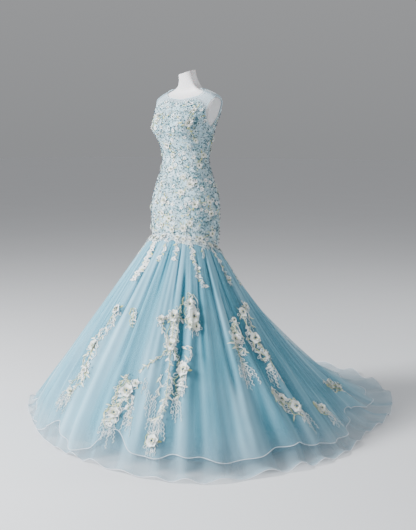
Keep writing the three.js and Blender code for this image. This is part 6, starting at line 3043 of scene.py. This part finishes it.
@dataclass
class Studio:
    """The pale floor, the soft light and the camera."""

    finishes: Finishes
    floor_size: float = 120.0
    camera_place: Row3 = (2.452, -2.922, 1.24)
    camera_pitch: float = 8.0
    camera_heading: float = 128.6010
    lens: float = 58.4
    sky: Colour = (0.90, 0.91, 0.93)
    low_sky: Colour = (0.70, 0.715, 0.74)
    sky_strength: float = 0.42
    lamps: tuple[tuple[str, Row3, float, float, Colour], ...] = (
        # name, place, side, power in watts, colour
        ("key_lamp", (-2.0, -3.7, 3.0), 1.3, 640, (0.97, 0.985, 1.0)),
        ("fill_lamp", (2.6, -3.6, 2.2), 2.2, 30, (0.95, 0.98, 1.0)),
        ("back_lamp", (2.4, 3.6, 3.0), 1.8, 70, (0.95, 0.98, 1.0)),
    )
    lit_height: float = 0.8

    def floor(self) -> None:
        """Lays the floor."""
        bpy.ops.mesh.primitive_plane_add(size=self.floor_size, location=(0, 0, 0))
        floor = bpy.context.object
        floor.name = "studio_floor"
        floor.data.materials.append(self.finishes.floor)

    def world(self) -> None:
        """Lights the scene evenly from all round."""
        world = bpy.data.worlds.new("studio_light")
        world.use_nodes = True
        n = Nodes(world.node_tree)
        way = n.add("ShaderNodeTexCoord").outputs["Generated"]
        rise = n.add("ShaderNodeSeparateXYZ", {"Vector": way}).outputs["Z"]
        colour = n.mix(n.spread(rise, 0.0, 0.3), self.low_sky, self.sky)
        light = n.add("ShaderNodeBackground", {"Color": colour, "Strength": self.sky_strength})
        n.add("ShaderNodeOutputWorld", {"Surface": light.outputs["Background"]})
        bpy.context.scene.world = world

    def lamp(self, name: str, place: Row3, size: float, power: float, colour: Colour) -> None:
        """Hangs a soft square lamp that points at the gown's middle.

        Args:
            name: The lamp's name.
            place: Where it hangs.
            size: Its side.
            power: Its power in watts.
            colour: Its colour.
        """
        data = bpy.data.lights.new(name, "AREA")
        data.shape, data.size, data.energy, data.color = "SQUARE", size, power, colour
        lamp = bpy.data.objects.new(name, data)
        lamp.location = place
        ahead = Vector((0, 0, self.lit_height)) - Vector(place)
        lamp.rotation_euler = ahead.to_track_quat("-Z", "Y").to_euler()
        bpy.context.scene.collection.objects.link(lamp)

    def camera(self) -> None:
        """Sets up the camera."""
        data = bpy.data.cameras.new("studio_camera")
        data.lens = self.lens
        camera = bpy.data.objects.new("studio_camera", data)
        heading, pitch = math.radians(self.camera_heading), math.radians(self.camera_pitch)
        level = math.cos(pitch)
        ahead = Vector((level * math.cos(heading), level * math.sin(heading), -math.sin(pitch)))
        camera.location = self.camera_place
        camera.rotation_euler = ahead.to_track_quat("-Z", "Y").to_euler()
        bpy.context.scene.collection.objects.link(camera)
        bpy.context.scene.camera = camera

    def build(self) -> None:
        """Sets up the whole studio."""
        self.floor()
        self.world()
        for lamp in self.lamps:
            self.lamp(*lamp)
        self.camera()


# ---- the whole


def main() -> None:
    """Builds the gown, its form and the studio."""
    logging.basicConfig(level=logging.INFO, format="%(message)s")
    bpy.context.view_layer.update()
    finishes = Finishes(Effects())
    body = Body()
    cut = SkirtCut(body)
    bodice = Bodice(body, cut, finishes)
    DressForm(body, finishes).build()
    bodice.build()
    Skirt(cut, finishes).build()
    LaceRelief(bodice, finishes).build()
    SkirtLace(cut, finishes).build()
    Studio(finishes).build()


if __name__ == "__main__":
    main()
